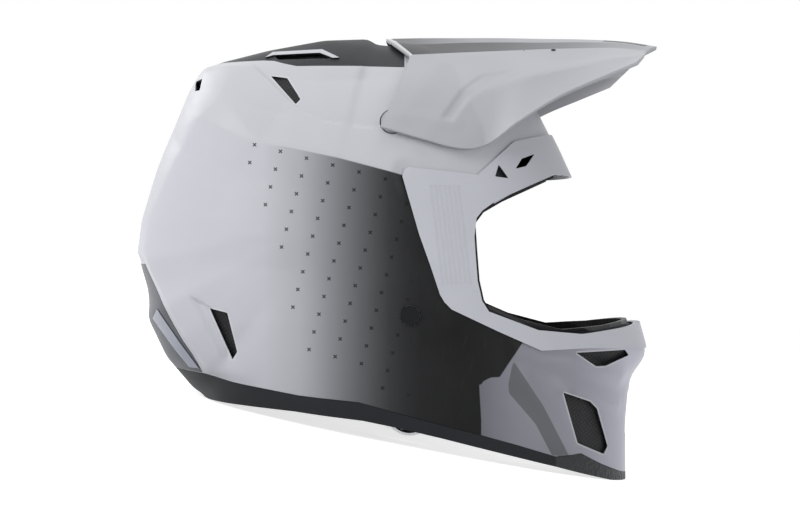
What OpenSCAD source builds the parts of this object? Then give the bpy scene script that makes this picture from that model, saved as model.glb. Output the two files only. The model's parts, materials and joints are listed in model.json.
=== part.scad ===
// Full-face off-road helmet with an adjustable peak, removable cheek pads and a double D-ring strap.
// Worn frame: +X to the face, +Y to the wearer's left, +Z up, origin on the axis through both ears.
// The finished helmet is turned by stand_tilt, so that it stands on its base trim and chin skid.

/* [Helmet] */
// Length of the shell from the back of the head to the nose of the chin bar
helmet_length = 352.5; // [300:0.5:420]
// Height of the shell from the underside of the chin bar to the crown
helmet_height = 307; // [260:0.5:360]
// Width of the shell across the ears
helmet_width = 244; // [210:0.5:290]
// Wall of the outer shell
shell_wall = 4; // [3.2:0.1:5]
// Thickness of the energy absorbing liner
liner_wall = 27; // [20:0.5:30]
// Thickness of the comfort padding on the liner
comfort_wall = 8; // [5:0.5:10]
// Thickness of the liner inside the chin bar
chin_liner_wall = 15; // [10:0.5:18]

/* [Covers] */
// Thickness of the crown insert, the face frame and the rear bumper
cover_wall = 1.6; // [1.2:0.1:2]
// Depth of the rubber trim around the neck opening
trim_depth = 9; // [7:0.5:11]
// Clearance between neighbouring pieces
fit_gap = 0.3; // [0.2:0.05:0.5]
// Glue gap under the face frame
seat_gap = 0.1; // [0.05:0.05:0.2]

/* [Vents] */
// Thickness of the vent screens
screen_wall = 1.2; // [0.8:0.1:1.6]
// Width of the front mouth vent
mouth_vent_w = 46; // [30:1:56]
// Height of the front mouth vent
mouth_vent_h = 30; // [20:1:34]

/* [Peak] */
// Wall of the peak
visor_wall = 2.4; // [1.8:0.1:3]
// Half width of the peak at its front corners
visor_half_w = 100; // [80:1:115]
// Running gap between the peak and the shell
visor_gap = 2.6; // [2.2:0.1:4]
// Diameter of the two studs that the peak turns on
stud_d = 8; // [6:0.5:10]
// Radial clearance of a stud in its boss
stud_clearance = 0.05; // [0.02:0.01:0.1]
// Outside diameter of the boss on each peak arm
boss_d = 15; // [13:0.5:17]

/* [Strap] */
// Width of the chin strap
strap_w = 24; // [20:0.5:28]
// Thickness of the chin strap
strap_t = 1.8; // [1.2:0.1:2.4]
// Wire diameter of the D-rings
ring_wire_d = 3.2; // [2.4:0.1:4]
// Inside width of the D-rings
ring_inner_w = 27; // [25:0.5:32]
// Drop of the D-rings below their bar
ring_drop = 20; // [16:0.5:24]
// Diameter of the strap rivets
rivet_d = 6; // [5:0.5:8]
// Diameter of the cap over each strap anchor
anchor_cap_d = 13; // [12:0.5:16]

/* [Padding] */
// Thickness of the cheek pads
cheek_pad_t = 22; // [16:1:26]
// Half width between the inner faces of the cheek cores
cheek_core_y = 88; // [84:0.5:92]
// Diameter of the press studs that hold the cheek pads
snap_d = 11; // [9:0.5:13]

/* [Hidden] */

// Side outline of the shell at scale one, as [x, z]; it runs on below the rim, where it is cut off.
design_length = 352.5;
design_height = 307;
design_width = 244;
SX = helmet_length / design_length;
SY = helmet_width / design_width;
SZ = helmet_height / design_height;
half_w = helmet_width / 2;
function fit(points) = [for (p = points) [p[0] * SX, p[1] * SZ]];

shell_outline = fit([
    [221, -90], [209, -106], [206, -139], [206, -181], [206, -225], [168, -317], [60, -312],
    [0, -280], [-49, -182], [-76, -142], [-87, -118], [-94, -114], [-113, -92], [-126, -65],
    [-125, -56], [-126, -45], [-131.5, -26], [-127.5, 2], [-117, 38.5], [-105, 70], [-97, 92],
    [-87.5, 107], [-75.5, 112.5], [-42, 121], [-3.5, 128], [28, 129], [32, 125], [40, 124.5],
    [84, 118.5], [119, 104], [139, 86], [145, 78], [158, 52.5], [175, 15], [189, -17.5], [213, -62]
]);
// Edge of the eye port, from the brow round the temple to the nose of the chin bar
eye_port_edge = fit([
    [153, 33], [122, 19], [103, 8], [97, 0], [98, -18], [99.5, -38], [102.5, -51], [107, -58],
    [129, -67.5], [156, -74.5], [184, -72.5], [206, -69]
]);
// Edges of the face frame, station by station the same way, run on past the front of the helmet
face_frame_outer = fit([
    [180, 69], [154, 62], [125, 54.5], [100, 31.5], [53, 36], [48, 29], [62, -8], [70, -29],
    [78.5, -50.5], [84, -58], [113, -71], [142, -84], [176, -83], [208, -84], [240, -87]
]);
face_frame_inner = fit([
    [180, 33], [153, 33], [122, 19], [110, 13], [103, 8], [99, 3], [97.5, -9], [98, -18],
    [99.5, -38], [102.5, -51], [107, -58], [140, -70.5], [170, -73.5], [206, -69], [240, -62]
]);
// Top and bottom edges of the rubber base trim, from the back to the chin
trim_top = fit([
    [-150, -95.5], [-104, -98.5], [-83, -100.5], [-62, -105.5], [-17, -113], [22, -117], [49, -124.5],
    [69, -130], [102, -139], [126, -146], [152, -154.5]
]);
trim_bottom = fit([
    [-150, -118], [-104, -118.3], [-83, -119], [-60, -120.5], [-20, -123.5], [25, -129], [49, -134],
    [76, -140.5], [104, -148], [130, -155], [152, -161]
]);
// Top and bottom edges of the chin skid, which carries on from the trim
skid_top = fit([
    [152, -154.5], [158, -156.5], [165, -158.5], [172, -160.5], [180, -162.5], [188, -165],
    [196, -167.5], [203, -169.5], [210, -171.5]
]);
skid_bottom = fit([
    [152, -161], [158, -163], [165, -165], [172, -167], [180, -169.5], [188, -172],
    [196, -174.5], [203, -177], [210, -179]
]);
// Lower edge of the crown insert
crown_edge = fit([
    [-76, 110.7], [-60, 110.5], [-44, 110.3], [-36, 109.6], [-28, 107], [-20, 105], [0, 104.8],
    [26, 104.6], [52, 104.4]
]);
crown_top = [for (p = crown_edge) [p[0], 150 * SZ]];
// Rim of the rear bumper on the shell, a line behind the helmet, and its pale inserts
bumper_edge = fit([
    [-124, -27], [-119, -37], [-114, -46], [-108, -57], [-102, -68], [-96, -78], [-90, -87],
    [-86, -94], [-83.5, -99.4]
]);
bumper_back = fit([
    [-160, -27], [-160, -36], [-160, -45], [-160, -54], [-160, -63], [-160, -71], [-160, -79],
    [-160, -87], [-160, -94]
]);
insert_front = fit([[-115, -57], [-85.5, -97.5]]);
insert_back = fit([[-119.5, -64], [-93, -97]]);

// Vents as side outlines, convex and cut straight through the side wall
upper_vent = fit([[-37, 98], [-26, 96.5], [-16.5, 81.5], [-19.5, 78]]);
lower_vent = fit([[-76, -56], [-64, -59], [-58, -85], [-61.5, -90]]);
crown_vent = fit([[-36, 113.6], [-5, 114.4], [3, 110.3], [-33, 110.3]]);
chin_low_vent = fit([[157, -112], [176, -119], [181, -124], [189, -150], [186, -155], [167, -146]]);
chin_up_vent = fit([[166, -86], [201, -85], [204, -89], [187, -95.5], [180, -95.5]]);
brow_plug = fit([[111.5, 30.5], [114, 38.5], [120.5, 29.5]]);
brow_slot = fit([[125.5, 36], [130, 43], [139, 46.5], [133, 38]]);
brow_notch = fit([[136, 72], [140, 75], [140, 66]]);
rear_vent_z = [44, 12];
rear_vent_w = 26;
rear_vent_h = 13;

// Cross-section of the shell: a superellipse with this exponent
roundness = 2.3;
ring_steps = 10;
stations = 9;

// Peak, station by station from its back edge to its tip, as [x, z] of five lines on one side:
// the centre, the two edges of the inset strip, the middle of the flank and the lower edge
visor_centre = fit([
    [39, 130.5], [62, 131], [90, 131], [118, 131], [146, 130.5], [176, 130], [205, 128.5], [229, 125]
]);
visor_strip_in = fit([
    [45, 123], [64, 123.5], [90, 124.5], [118, 125], [146, 125], [174, 125.5], [200, 125], [223, 122.5]
]);
visor_strip_out = fit([
    [56, 113], [68, 114], [90, 115.5], [118, 117], [146, 118.5], [172, 119.5], [197, 120], [218, 119]
]);
visor_flank = fit([[49, 90], [66, 88], [88, 87], [112, 90], [136, 98], [164, 104], [190, 109.5], [211, 112]]);
visor_edge = fit([[36, 62], [62, 54.5], [88, 48], [106, 51], [126, 66], [153, 83], [182, 96], [204, 105.5]]);
strip_in_y = [34, 34, 33, 31, 29, 27, 24, 16];
strip_out_y = [66, 62, 57, 53, 49, 45, 41, 32];
flank_y = [0, 0, 0, 87, 88, 86, 82, 76];
// Pivot of the peak, hidden under its arms
pivot_x = 44 * SX;
pivot_z = 66 * SZ;

// Strap anchor in the side wall
anchor_x = 55.5 * SX;
anchor_z = -60.5 * SZ;

// Chords between the back and the front of the rim give the standing tilt
rest_back = fit([[-90, -118.8]])[0];
rest_front = fit([[200, -176]])[0];
stand_tilt = atan2(rest_back[1] - rest_front[1], rest_front[0] - rest_back[0]);
land_cut = 1.2;
function stood(p) = [
    p[0] * cos(stand_tilt) - p[1] * sin(stand_tilt),
    p[0] * sin(stand_tilt) + p[1] * cos(stand_tilt)
];
back_x = min([for (p = shell_outline) if (p[1] > -120 * SZ) stood(p)[0]]);
nose_x = max([for (p = shell_outline) if (p[1] > -120 * SZ) stood(p)[0]]);
floor_z = stood(rest_front)[1] + land_cut;
middle_x = (back_x + nose_x + cover_wall + seat_gap) / 2;

module stand() {
    translate([-middle_x, 0, -floor_z]) rotate([0, -stand_tilt, 0]) children();
}

module above_floor() {
    intersection() {
        stand() children();
        translate([-300, -200, 0]) cube([600, 400, 500]);
    }
}

module both_sides() {
    children();
    mirror([0, 1, 0]) children();
}

// Outline with its long edges divided, so that the skin stays smooth
edge_step = 30;
function divided(points) = [
    for (i = [0 : len(points) - 1])
        let (a = points[i], b = points[(i + 1) % len(points)], n = max(1, round(norm(b - a) / edge_step)))
            for (k = [0 : n - 1]) a + (b - a) * k / n
];
skin_ring = divided(shell_outline);

function lame(v) = pow(abs(v), 2 / roundness);

// Distance from the ear axis to the outline along the direction [x, z]
function cross2(a, b) = a[0] * b[1] - a[1] * b[0];
function reach(x, z) = let (d = [x, z] / norm([x, z])) max([
    for (i = [0 : len(shell_outline) - 1])
        let (a = shell_outline[i], e = shell_outline[(i + 1) % len(shell_outline)] - a, den = cross2(d, e))
            if (abs(den) > 1e-9)
                let (t = cross2(a, e) / den, s = cross2(a, d) / den)
                    if (t > 0 && s >= -1e-6 && s <= 1 + 1e-6) t
]);

// Half width of the skin at depth d below the outer surface, above the side point [x, z]
function skin_y(x, z, d = 0) = let (f = norm([x, z]) / (reach(x, z) - d))
    f >= 1 ? 0 : (half_w - d) * pow(1 - pow(f, roundness), 1 / roundness);

// Closed skin at depth d: rings round the ear axis, from one ear to the other
module skin_body(d = 0) {
    n = len(skin_ring);
    rows = 2 * ring_steps;
    points = concat(
        [[0, half_w - d, 0]],
        [for (j = [1 : rows - 1]) let (a = 180 * j / rows, s = lame(sin(a)), c = sign(cos(a)) * lame(cos(a)))
            for (p = skin_ring) let (k = s * (norm(p) - d) / norm(p)) [p[0] * k, (half_w - d) * c, p[1] * k]],
        [[0, -(half_w - d), 0]]
    );
    last = len(points) - 1;
    caps = [for (i = [0 : n - 1]) each [
        [0, 1 + (i + 1) % n, 1 + i],
        [last, 1 + (rows - 2) * n + i, 1 + (rows - 2) * n + (i + 1) % n]
    ]];
    sides = [for (j = [0 : rows - 3]) for (i = [0 : n - 1])
        let (a = 1 + j * n + i, b = 1 + j * n + (i + 1) % n) [a, b, b + n, a + n]];
    polyhedron(points = points, faces = concat(caps, sides), convexity = 6);
}

// Everything between two depths of the skin
module skin_between(outer, inner) {
    difference() {
        skin_body(outer);
        skin_body(inner);
    }
}

// Side outline pushed straight through the helmet
module through(points, from = -200, to = 200) {
    translate([0, to, 0]) rotate([90, 0, 0]) linear_extrude(to - from) polygon(points);
}

// Convex side outline, cut into both side walls from the inside out
module side_cut(points, from = 20) {
    both_sides() hull() through(points, from, 200);
}

// Point at the share s of the length of a line of points
function run_length(points, i) = i == 0 ? 0 : run_length(points, i - 1) + norm(points[i] - points[i - 1]);
function along(points, s) = let (
    n = len(points), want = s * run_length(points, n - 1),
    k = max([for (i = [0 : n - 2]) if (run_length(points, i) <= want + 1e-6) i]),
    a = points[k], b = points[k + 1], l = norm(b - a)
) a + (b - a) * min(1, (want - run_length(points, k)) / l);

// Band between two edge lines, made of convex panels from one station to the next
module band(edge_a, edge_b, steps = stations) {
    same = len(edge_a) == len(edge_b);
    n = same ? len(edge_a) - 1 : steps;
    a = [for (i = [0 : n]) same ? edge_a[i] : along(edge_a, i / n)];
    b = [for (i = [0 : n]) same ? edge_b[i] : along(edge_b, i / n)];
    for (i = [0 : n - 1]) hull() through([a[i], a[i + 1], b[i + 1], b[i]]);
}

// Everything between two edge lines, as one outline
function reversed(points) = [for (i = [len(points) - 1 : -1 : 0]) points[i]];
module area_between(edge_a, edge_b, grow = 0) {
    translate([0, 200, 0]) rotate([90, 0, 0]) linear_extrude(400) offset(delta = grow)
        polygon(concat(edge_a, reversed(edge_b)));
}

function shifted(points, v) = [for (p = points) p + v];

// Everything in front of and inside the eye port's edge, grown by a clearance
module eye_port(grow = 0) {
    translate([0, 200, 0]) rotate([90, 0, 0]) linear_extrude(400) offset(delta = grow)
        polygon(concat(eye_port_edge, fit([[260, -55], [260, 60]])));
}

module all_vents() {
    side_cut(upper_vent);
    side_cut(lower_vent);
    side_cut(crown_vent);
    side_cut(chin_low_vent);
    side_cut(chin_up_vent);
    side_cut(brow_plug);
    side_cut(brow_slot);
    side_cut(brow_notch, 56 * SY);
    rear_vents();
    mouth_vent();
}

module rear_vents(grow = 0) {
    for (z = rear_vent_z, side = [-1, 1]) hull() {
        translate([-170, side * rear_vent_w * 1.1, z * SZ]) rotate([0, 90, 0])
            cylinder(d = rear_vent_h + 2 * grow, h = 110, $fn = 8);
        translate([-170, side * rear_vent_w * 0.55, (z + 3) * SZ]) rotate([0, 90, 0])
            cylinder(d = rear_vent_h + 2 * grow, h = 110, $fn = 8);
    }
}

module mouth_vent(grow = 0) {
    w = mouth_vent_w + 2 * grow;
    h = mouth_vent_h + 2 * grow;
    hull() {
        translate([150 * SX, -w / 2, -130 * SZ - h / 2 + 6]) cube([80, w, h - 6]);
        translate([150 * SX, -w / 2 + 8, -130 * SZ - h / 2]) cube([80, w - 16, h]);
    }
}

// Everything below the rubber trim and the chin skid
module neck_cut() {
    through(concat(trim_top, skid_top, fit([[260, -175], [260, -400], [-220, -400], [-220, -95.5]])));
}

module pivot_holes(d, from) {
    both_sides() translate([pivot_x, from, pivot_z]) rotate([-90, 0, 0]) cylinder(d = d, h = 60, $fn = 24);
}

// Recess in the shell under a cover
module cover_recess(edge_a, edge_b) {
    intersection() {
        area_between(edge_a, edge_b, fit_gap);
        skin_between(-6, cover_wall + fit_gap);
    }
}

// Points beside a line, moved square to it
function beside(points, d) = [
    for (i = [0 : len(points) - 1])
        let (a = points[max(0, i - 1)], b = points[min(len(points) - 1, i + 1)], t = (b - a) / norm(b - a))
            points[i] + d * [-t[1], t[0]]
];

// Outline drawn in towards its middle by a clearance
function middle(points) = [for (k = [0, 1]) sum([for (p = points) p[k]]) / len(points)];
function sum(v, i = 0) = i == len(v) ? 0 : v[i] + sum(v, i + 1);
function drawn_in(points, gap) = let (c = middle(points))
    [for (p = points) c + (p - c) * (1 - gap / norm(p - c))];

// Most that a flat facet of the skin lies inside the true surface
facet_sag = 0.8;

// Depths of the layers inside the shell
liner_out = shell_wall + fit_gap;
liner_in = liner_out + liner_wall;
disc_t = 2;
disc_bed = 1;
pad_out = liner_in + disc_bed + disc_t + 0.6;
gasket_t = 3;
deflector_out = liner_out + gasket_t + fit_gap;
deflector_t = 4.5;
edge_margin = 6;
deflector_drop = 12;

// Peak pivot: the boss runs in a hole in the shell, closed by a socket that holds the stud
boss_in = skin_y(pivot_x, pivot_z + boss_d / 2, 0) - 0.5;
boss_out = skin_y(pivot_x, pivot_z + boss_d / 2, -visor_gap) + 0.9;
boss_gap = 0.5;
socket_d = boss_d + 2 * boss_gap;
flange_d = socket_d + 7;
flange_t = 2;
socket_face = boss_in - fit_gap;
socket_t = socket_face - skin_y(pivot_x, pivot_z + flange_d / 2, shell_wall) + facet_sag;
stud_head_d = stud_d + 5;
stud_head_t = 2.5;

// Strap anchor, from the cap in the shell inwards
strap_seat = 0.2;
anchor_out = skin_y(anchor_x, anchor_z, 0);
cap_t = 2;
cap_seat = anchor_out - cap_t - strap_seat;
plate_h = 14;
shell_at_anchor = skin_y(anchor_x + strap_w / 2, anchor_z - plate_h / 2, shell_wall) - facet_sag;
plate_t = 2;
plate_y = shell_at_anchor - fit_gap - plate_t;
strap_y = plate_y - strap_seat - strap_t / 2;
rivet_head_d = rivet_d + 4;
rivet_head_t = 1.6;
rivet_play = 0.05;
rivet_foot = strap_y - strap_t / 2 - strap_seat;

module shell_cover(edge_a, edge_b, depth = 0) {
    intersection() {
        band(edge_a, edge_b);
        skin_between(depth, depth + cover_wall);
    }
}

module outer_shell() {
    color("#d9dade") stand() difference() {
        skin_between(0, shell_wall);
        eye_port();
        neck_cut();
        all_vents();
        cover_recess(crown_edge, crown_top);
        cover_recess(bumper_edge, bumper_back);
        pivot_holes(socket_d + 2 * fit_gap, 60);
        both_sides() translate([anchor_x, cap_seat - 0.2, anchor_z]) rotate([-90, 0, 0])
            cylinder(d = anchor_cap_d + 2 * fit_gap, h = 40, $fn = 24);
        both_sides() translate([anchor_x, 60, anchor_z]) rotate([-90, 0, 0])
            cylinder(d = rivet_d + 2 * fit_gap, h = 80, $fn = 16);
    }
}

module crown_insert() {
    color("#2c2d31") stand() difference() {
        shell_cover(crown_edge, crown_top);
        side_cut(crown_vent);
    }
}

module face_frame() {
    color("#c9cbd2") stand() difference() {
        shell_cover(face_frame_outer, face_frame_inner, -cover_wall - seat_gap);
        side_cut(brow_plug);
        side_cut(brow_slot);
    }
}

module eye_port_gasket() {
    color("#1b1b1d") stand() intersection() {
        band(beside(eye_port_edge, -edge_margin + fit_gap), beside(eye_port_edge, 1.5));
        skin_between(liner_out, liner_out + gasket_t);
    }
}

chin_run = [for (i = [7 : len(eye_port_edge) - 1]) eye_port_edge[i]];
chin_run_front = concat(chin_run, fit([[232, -66]]));

module chin_deflector() {
    color("#232326") stand() intersection() {
        band(shifted(chin_run_front, [0, 4]), shifted(chin_run_front, [0, -deflector_drop]), 10);
        skin_between(deflector_out, deflector_out + deflector_t);
        through(fit([[104, 0], [240, 0], [240, -200], [104, -200]]));
    }
}

module base_trim() {
    color("#35373b") above_floor() intersection() {
        band(shifted(trim_top, [0, -fit_gap]), trim_bottom);
        skin_between(0, trim_depth);
    }
}

module chin_skid() {
    color("#2a2c33") above_floor() intersection() {
        band(shifted(skid_top, [fit_gap, -fit_gap]), shifted(skid_bottom, [fit_gap, 0]));
        skin_between(0, trim_depth + 4);
    }
}

module rear_bumper() {
    color("#4b4e55") stand() difference() {
        shell_cover(bumper_edge, bumper_back);
        area_between(insert_front, insert_back, fit_gap);
    }
}

module rear_bumper_inserts() {
    color("#a9b3c2") stand() intersection() {
        band(insert_front, insert_back);
        skin_between(-0.4, cover_wall);
    }
}

// Screen or plug that closes a vent, set back in the wall
module vent_screen(edge_a, edge_b, depth, thickness) {
    stand() intersection() {
        band(edge_a, edge_b);
        skin_between(depth, depth + thickness);
    }
}

function ends(points, list) = [for (i = list) points[i]];

module brow_vent_plugs() {
    p = drawn_in(brow_plug, fit_gap * 1.6);
    color("#3d4046") vent_screen(ends(p, [0, 1]), ends(p, [0, 2]), cover_wall, 1.6);
}

module upper_vent_screens() {
    p = drawn_in(upper_vent, fit_gap * 1.6);
    color("#121214") vent_screen(ends(p, [0, 3]), ends(p, [1, 2]), 2.4, screen_wall);
}

module lower_vent_screens() {
    p = drawn_in(lower_vent, fit_gap * 1.6);
    color("#121214") vent_screen(ends(p, [0, 3]), ends(p, [1, 2]), 2.4, screen_wall);
}

module crown_vent_screens() {
    p = drawn_in(crown_vent, fit_gap * 1.6);
    color("#121214") vent_screen(ends(p, [0, 1]), ends(p, [3, 2]), 2.4, screen_wall);
}

module chin_upper_screens() {
    p = drawn_in(chin_up_vent, fit_gap * 1.6);
    color("#121214") vent_screen(ends(p, [0, 4, 3]), ends(p, [1, 2]), 2.4, screen_wall);
}

module chin_lower_screens() {
    p = drawn_in(chin_low_vent, fit_gap * 1.6);
    color("#121214") vent_screen(ends(p, [0, 5, 4]), ends(p, [1, 2, 3]), 2.4, screen_wall);
}

module rear_vent_screens() {
    color("#121214") stand() intersection() {
        rear_vents(-fit_gap);
        skin_between(2.4, 2.4 + screen_wall);
    }
}

module mouth_vent_grille() {
    bars = 9;
    bar_w = 2.4;
    w = mouth_vent_w - 2 * fit_gap - 0.4;
    h = mouth_vent_h - 2 * fit_gap - 0.4;
    color("#18181a") stand() intersection() {
        mouth_vent(-fit_gap - 0.2);
        skin_between(1, 3);
        union() {
            for (i = [0 : bars - 1]) hull()
                translate([150 * SX, -w / 2 + (w - bar_w) * i / (bars - 1), -130 * SZ - h / 2])
                    cube([80, bar_w, h]);
            for (k = [0 : 3]) hull()
                translate([150 * SX, -w / 2, -130 * SZ - h / 2 + (h - bar_w) * k / 3])
                    cube([80, w, bar_w]);
        }
    }
}

module mouth_vent_filter() {
    slices = 9;
    w = mouth_vent_w - 4;
    color("#202022") stand() intersection() {
        mouth_vent(-fit_gap - 0.5);
        skin_between(liner_out + 0.5, liner_out + 6.5);
        for (i = [0 : slices - 1]) hull() translate([150 * SX, -w / 2 + w * i / slices, -170 * SZ])
            cube([80, w / slices + 0.5, 80]);
    }
}

module at_anchor() {
    stand() both_sides() translate([anchor_x, 0, anchor_z]) rotate([-90, 0, 0]) children();
}

module strap_anchor_caps() {
    color("#2a2a2c") at_anchor() translate([0, 0, cap_seat]) cylinder(d = anchor_cap_d, h = cap_t, $fn = 64);
}

module strap_rivets() {
    color("#8d8f94") at_anchor() {
        translate([0, 0, rivet_foot]) cylinder(d = rivet_d, h = cap_seat - strap_seat - rivet_foot, $fn = 48);
        translate([0, 0, rivet_foot - rivet_head_t]) cylinder(d = rivet_head_d, h = rivet_head_t, $fn = 48);
    }
}

module strap_anchor_plates() {
    color("#9b9da1") at_anchor() translate([0, 0, plate_y]) difference() {
        translate([-strap_w / 2, -plate_h / 2, 0]) cube([strap_w, plate_h, plate_t]);
        translate([0, 0, -1]) cylinder(d = rivet_d + 2 * rivet_play, h = plate_t + 2, $fn = 48);
    }
}

liner_floor = fit([[-180, -86], [-8, -86], [-2, -14], [260, -14], [260, -400], [-180, -400]]);

module impact_liner() {
    color("#3a3b3d") stand() difference() {
        skin_between(liner_out, liner_in);
        eye_port(edge_margin);
        through(liner_floor);
        all_vents();
        pivot_holes(flange_d + 1, socket_face - socket_t - flange_t - stud_head_t - 1);
    }
}

chin_liner_bottom = fit([[104, -137.5], [150, -152.5], [180, -160.5], [240, -175]]);

module chin_liner() {
    color("#38393b") stand() difference() {
        intersection() {
            band(shifted(chin_run_front, [0, -deflector_drop - fit_gap]), chin_liner_bottom, 10);
            skin_between(liner_out, liner_out + chin_liner_wall);
            through(fit([[104, 0], [240, 0], [240, -200], [104, -200]]));
        }
        side_cut(chin_low_vent);
        side_cut(chin_up_vent);
        mouth_vent();
        both_sides() translate([rivet_x, 60, rivet_z]) rotate([-90, 0, 0])
            cylinder(d = rivet_shank_d + 2.6, h = 80, $fn = 32);
    }
}

// Part of the skin between two turns round the ear axis and two swings across the head
module skin_patch(turn_a, turn_b, swing_a, swing_b, outer, inner, n = 14, m = 10) {
    function at(i, j, d) = skin_at(
        turn_a + (turn_b - turn_a) * i / n, swing_a + (swing_b - swing_a) * j / m, d
    );
    top = [for (i = [0 : n]) for (j = [0 : m]) at(i, j, outer)];
    low = [for (i = [0 : n]) for (j = [0 : m]) at(i, j, inner)];
    function id(i, j) = i * (m + 1) + j;
    o = len(top);
    quads = [for (i = [0 : n - 1]) for (j = [0 : m - 1])
        [id(i, j), id(i, j + 1), id(i + 1, j + 1), id(i + 1, j)]];
    rim = concat(
        [for (i = [0 : n - 1]) [id(i, 0), id(i + 1, 0)]], [for (j = [0 : m - 1]) [id(n, j), id(n, j + 1)]],
        [for (i = [n : -1 : 1]) [id(i, m), id(i - 1, m)]], [for (j = [m : -1 : 1]) [id(0, j), id(0, j - 1)]]
    );
    polyhedron(points = concat(top, low), faces = concat(
        [for (q = quads) [q[0], q[1], q[2]]], [for (q = quads) [q[0], q[2], q[3]]],
        [for (q = quads) [o + q[2], o + q[1], o + q[0]]], [for (q = quads) [o + q[3], o + q[2], o + q[0]]],
        [for (e = rim) [e[0], e[1], o + e[1]]], [for (e = rim) [e[0], o + e[1], o + e[0]]]
    ), convexity = 6);
}

// Low-friction discs between the impact liner and the comfort pad, square to the skin
disc_spots = [[60, 62], [60, 118], [95, 90], [125, 58], [125, 122], [160, 72], [160, 108]];
disc_d = 14;
function skin_at(turn, swing, d) = let (r = (reach(cos(turn), sin(turn)) - d) * lame(sin(swing)))
    [r * cos(turn), (half_w - d) * sign(cos(swing)) * lame(cos(swing)), r * sin(turn)];
function skin_normal(turn, swing, d) = let (
    along_turn = skin_at(turn + 4, swing, d) - skin_at(turn - 4, swing, d),
    along_swing = skin_at(turn, swing + 4, d) - skin_at(turn, swing - 4, d),
    c = cross(along_turn, along_swing)
) c / norm(c);

module slip_discs() {
    color("#2f6ea8") stand() for (spot = disc_spots) {
        out = skin_normal(spot[0], spot[1], liner_in);
        translate(skin_at(spot[0], spot[1], liner_in + disc_bed))
            rotate([0, acos(out[2]), atan2(out[1], out[0])])
                translate([0, 0, -disc_t]) cylinder(d = disc_d, h = disc_t, $fn = 48);
    }
}

module crown_pad() {
    color("#1c1d20") stand() skin_patch(28, 205, 36, 144, pad_out, pad_out + comfort_wall);
}

module neck_roll() {
    roll_top = fit([[-180, -88.5], [-6, -88.5]]);
    roll_bottom = fit([[-180, -108], [-6, -111]]);
    color("#1c1d20") stand() intersection() {
        band(roll_top, roll_bottom);
        skin_between(trim_depth + fit_gap, trim_depth + 22);
    }
}

core_top = fit([[2, -16], [88, -16]]);
core_bottom = fit([[2, -104], [96, -113]]);

module cheek_core() {
    stand() difference() {
        intersection() {
            band(core_top, core_bottom);
            skin_body(liner_out + 0.2);
            translate([-200, cheek_core_y, -250]) cube([500, 60, 500]);
        }
        translate([anchor_x - strap_w / 2 - 1.5, strap_y - strap_t / 2 - rivet_head_t - 1.2, anchor_z - 200])
            cube([strap_w + 3, 60, 212]);
    }
}

module cheek_core_left() { color("#3a3b3d") cheek_core(); }
module cheek_core_right() { color("#3a3b3d") mirror([0, 1, 0]) cheek_core(); }

// Press studs: a socket on each core and a stud on each pad
snap_spots = fit([[22, -36], [78, -40], [26, -92], [80, -98]]);
socket_h = 1.8;
snap_pin_r = 3;
pad_face_y = cheek_core_y - socket_h - 1.7;

module at_snaps(y) {
    for (p = snap_spots) translate([p[0], y, p[1]]) rotate([-90, 0, 0]) children();
}

module cheek_snap_sockets() {
    color("#cfd0d3") stand() both_sides() at_snaps(cheek_core_y - socket_h) difference() {
        cylinder(d = snap_d, h = socket_h, $fn = 48);
        translate([0, 0, -1]) cylinder(r = snap_pin_r + 0.05, h = socket_h + 2, $fn = 48);
    }
}

module cheek_snaps() {
    stand() at_snaps(pad_face_y) {
        cylinder(d = snap_d, h = 1.5, $fn = 48);
        cylinder(r = snap_pin_r, h = 1.5 + socket_h - 0.2, $fn = 48);
    }
}

module cheek_snaps_left() { color("#cfd0d3") cheek_snaps(); }
module cheek_snaps_right() { color("#cfd0d3") mirror([0, 1, 0]) cheek_snaps(); }

pad_corners = fit([[18, -32], [80, -34], [82, -92], [20, -88]]);
pad_corner_r = 12;

module cheek_pad() {
    stand() hull() for (p = pad_corners) {
        translate([p[0], pad_face_y - cheek_pad_t * 0.6, p[1]]) rotate([-90, 0, 0])
            cylinder(r = pad_corner_r, h = cheek_pad_t * 0.6, $fn = 32);
        translate([p[0], pad_face_y - cheek_pad_t, p[1]]) rotate([-90, 0, 0])
            cylinder(r = pad_corner_r * 0.55, h = 1, $fn = 32);
    }
}

module cheek_pad_left() { color("#1c1d20") cheek_pad(); }
module cheek_pad_right() { color("#1c1d20") mirror([0, 1, 0]) cheek_pad(); }

tab_w = 14;
tab_drop = 13;
tab_t = 1.6;
tab_x = 84 * SX;
tab_top = pad_corners[2][1] - pad_corner_r * 0.9;

module release_tab() {
    stand() translate([tab_x - tab_w, pad_face_y - 8, tab_top - tab_drop])
        cube([tab_w, tab_t, tab_drop - pad_corner_r * 0.1]);
}

module release_tab_left() { color("#c43b2e") release_tab(); }
module release_tab_right() { color("#c43b2e") mirror([0, 1, 0]) release_tab(); }

// Smooth curve through four values
function through4(a, b, c, d, t) = b + (c - a) * t / 2 + (2 * a - 5 * b + 4 * c - d) * t * t / 2
    + (3 * b - a - 3 * c + d) * t * t * t / 2;
function finer(v, n) = let (m = len(v)) [
    for (i = [0 : m - 2])
        let (before = i > 0 ? v[i - 1] : 2 * v[0] - v[1])
            let (after = i < m - 2 ? v[i + 2] : 2 * v[m - 1] - v[m - 2])
                for (k = [0 : n - 1]) through4(before, v[i], v[i + 1], after, k / n),
    v[m - 1]
];

visor_stand_off = visor_gap + visor_wall;
edge_y = [0, 0, 0, 100, 100, 100, 100, 100];
function off_shell(x, z, y) = max(y, skin_y(x, z, -visor_stand_off));
function visor_side(line, ys) = [
    for (i = [0 : len(line) - 1]) let (p = line[i])
        [p[0], off_shell(p[0], p[1], ys[i] * visor_half_w / 100), p[1]]
];
visor_lines = [
    visor_side(visor_edge, edge_y), visor_side(visor_flank, flank_y),
    visor_side(visor_strip_out, strip_out_y), visor_side(visor_strip_in, strip_in_y),
    [for (p = visor_centre) [p[0], 0, p[1]]]
];
function mirrored(p) = [p[0], -p[1], p[2]];

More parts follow.
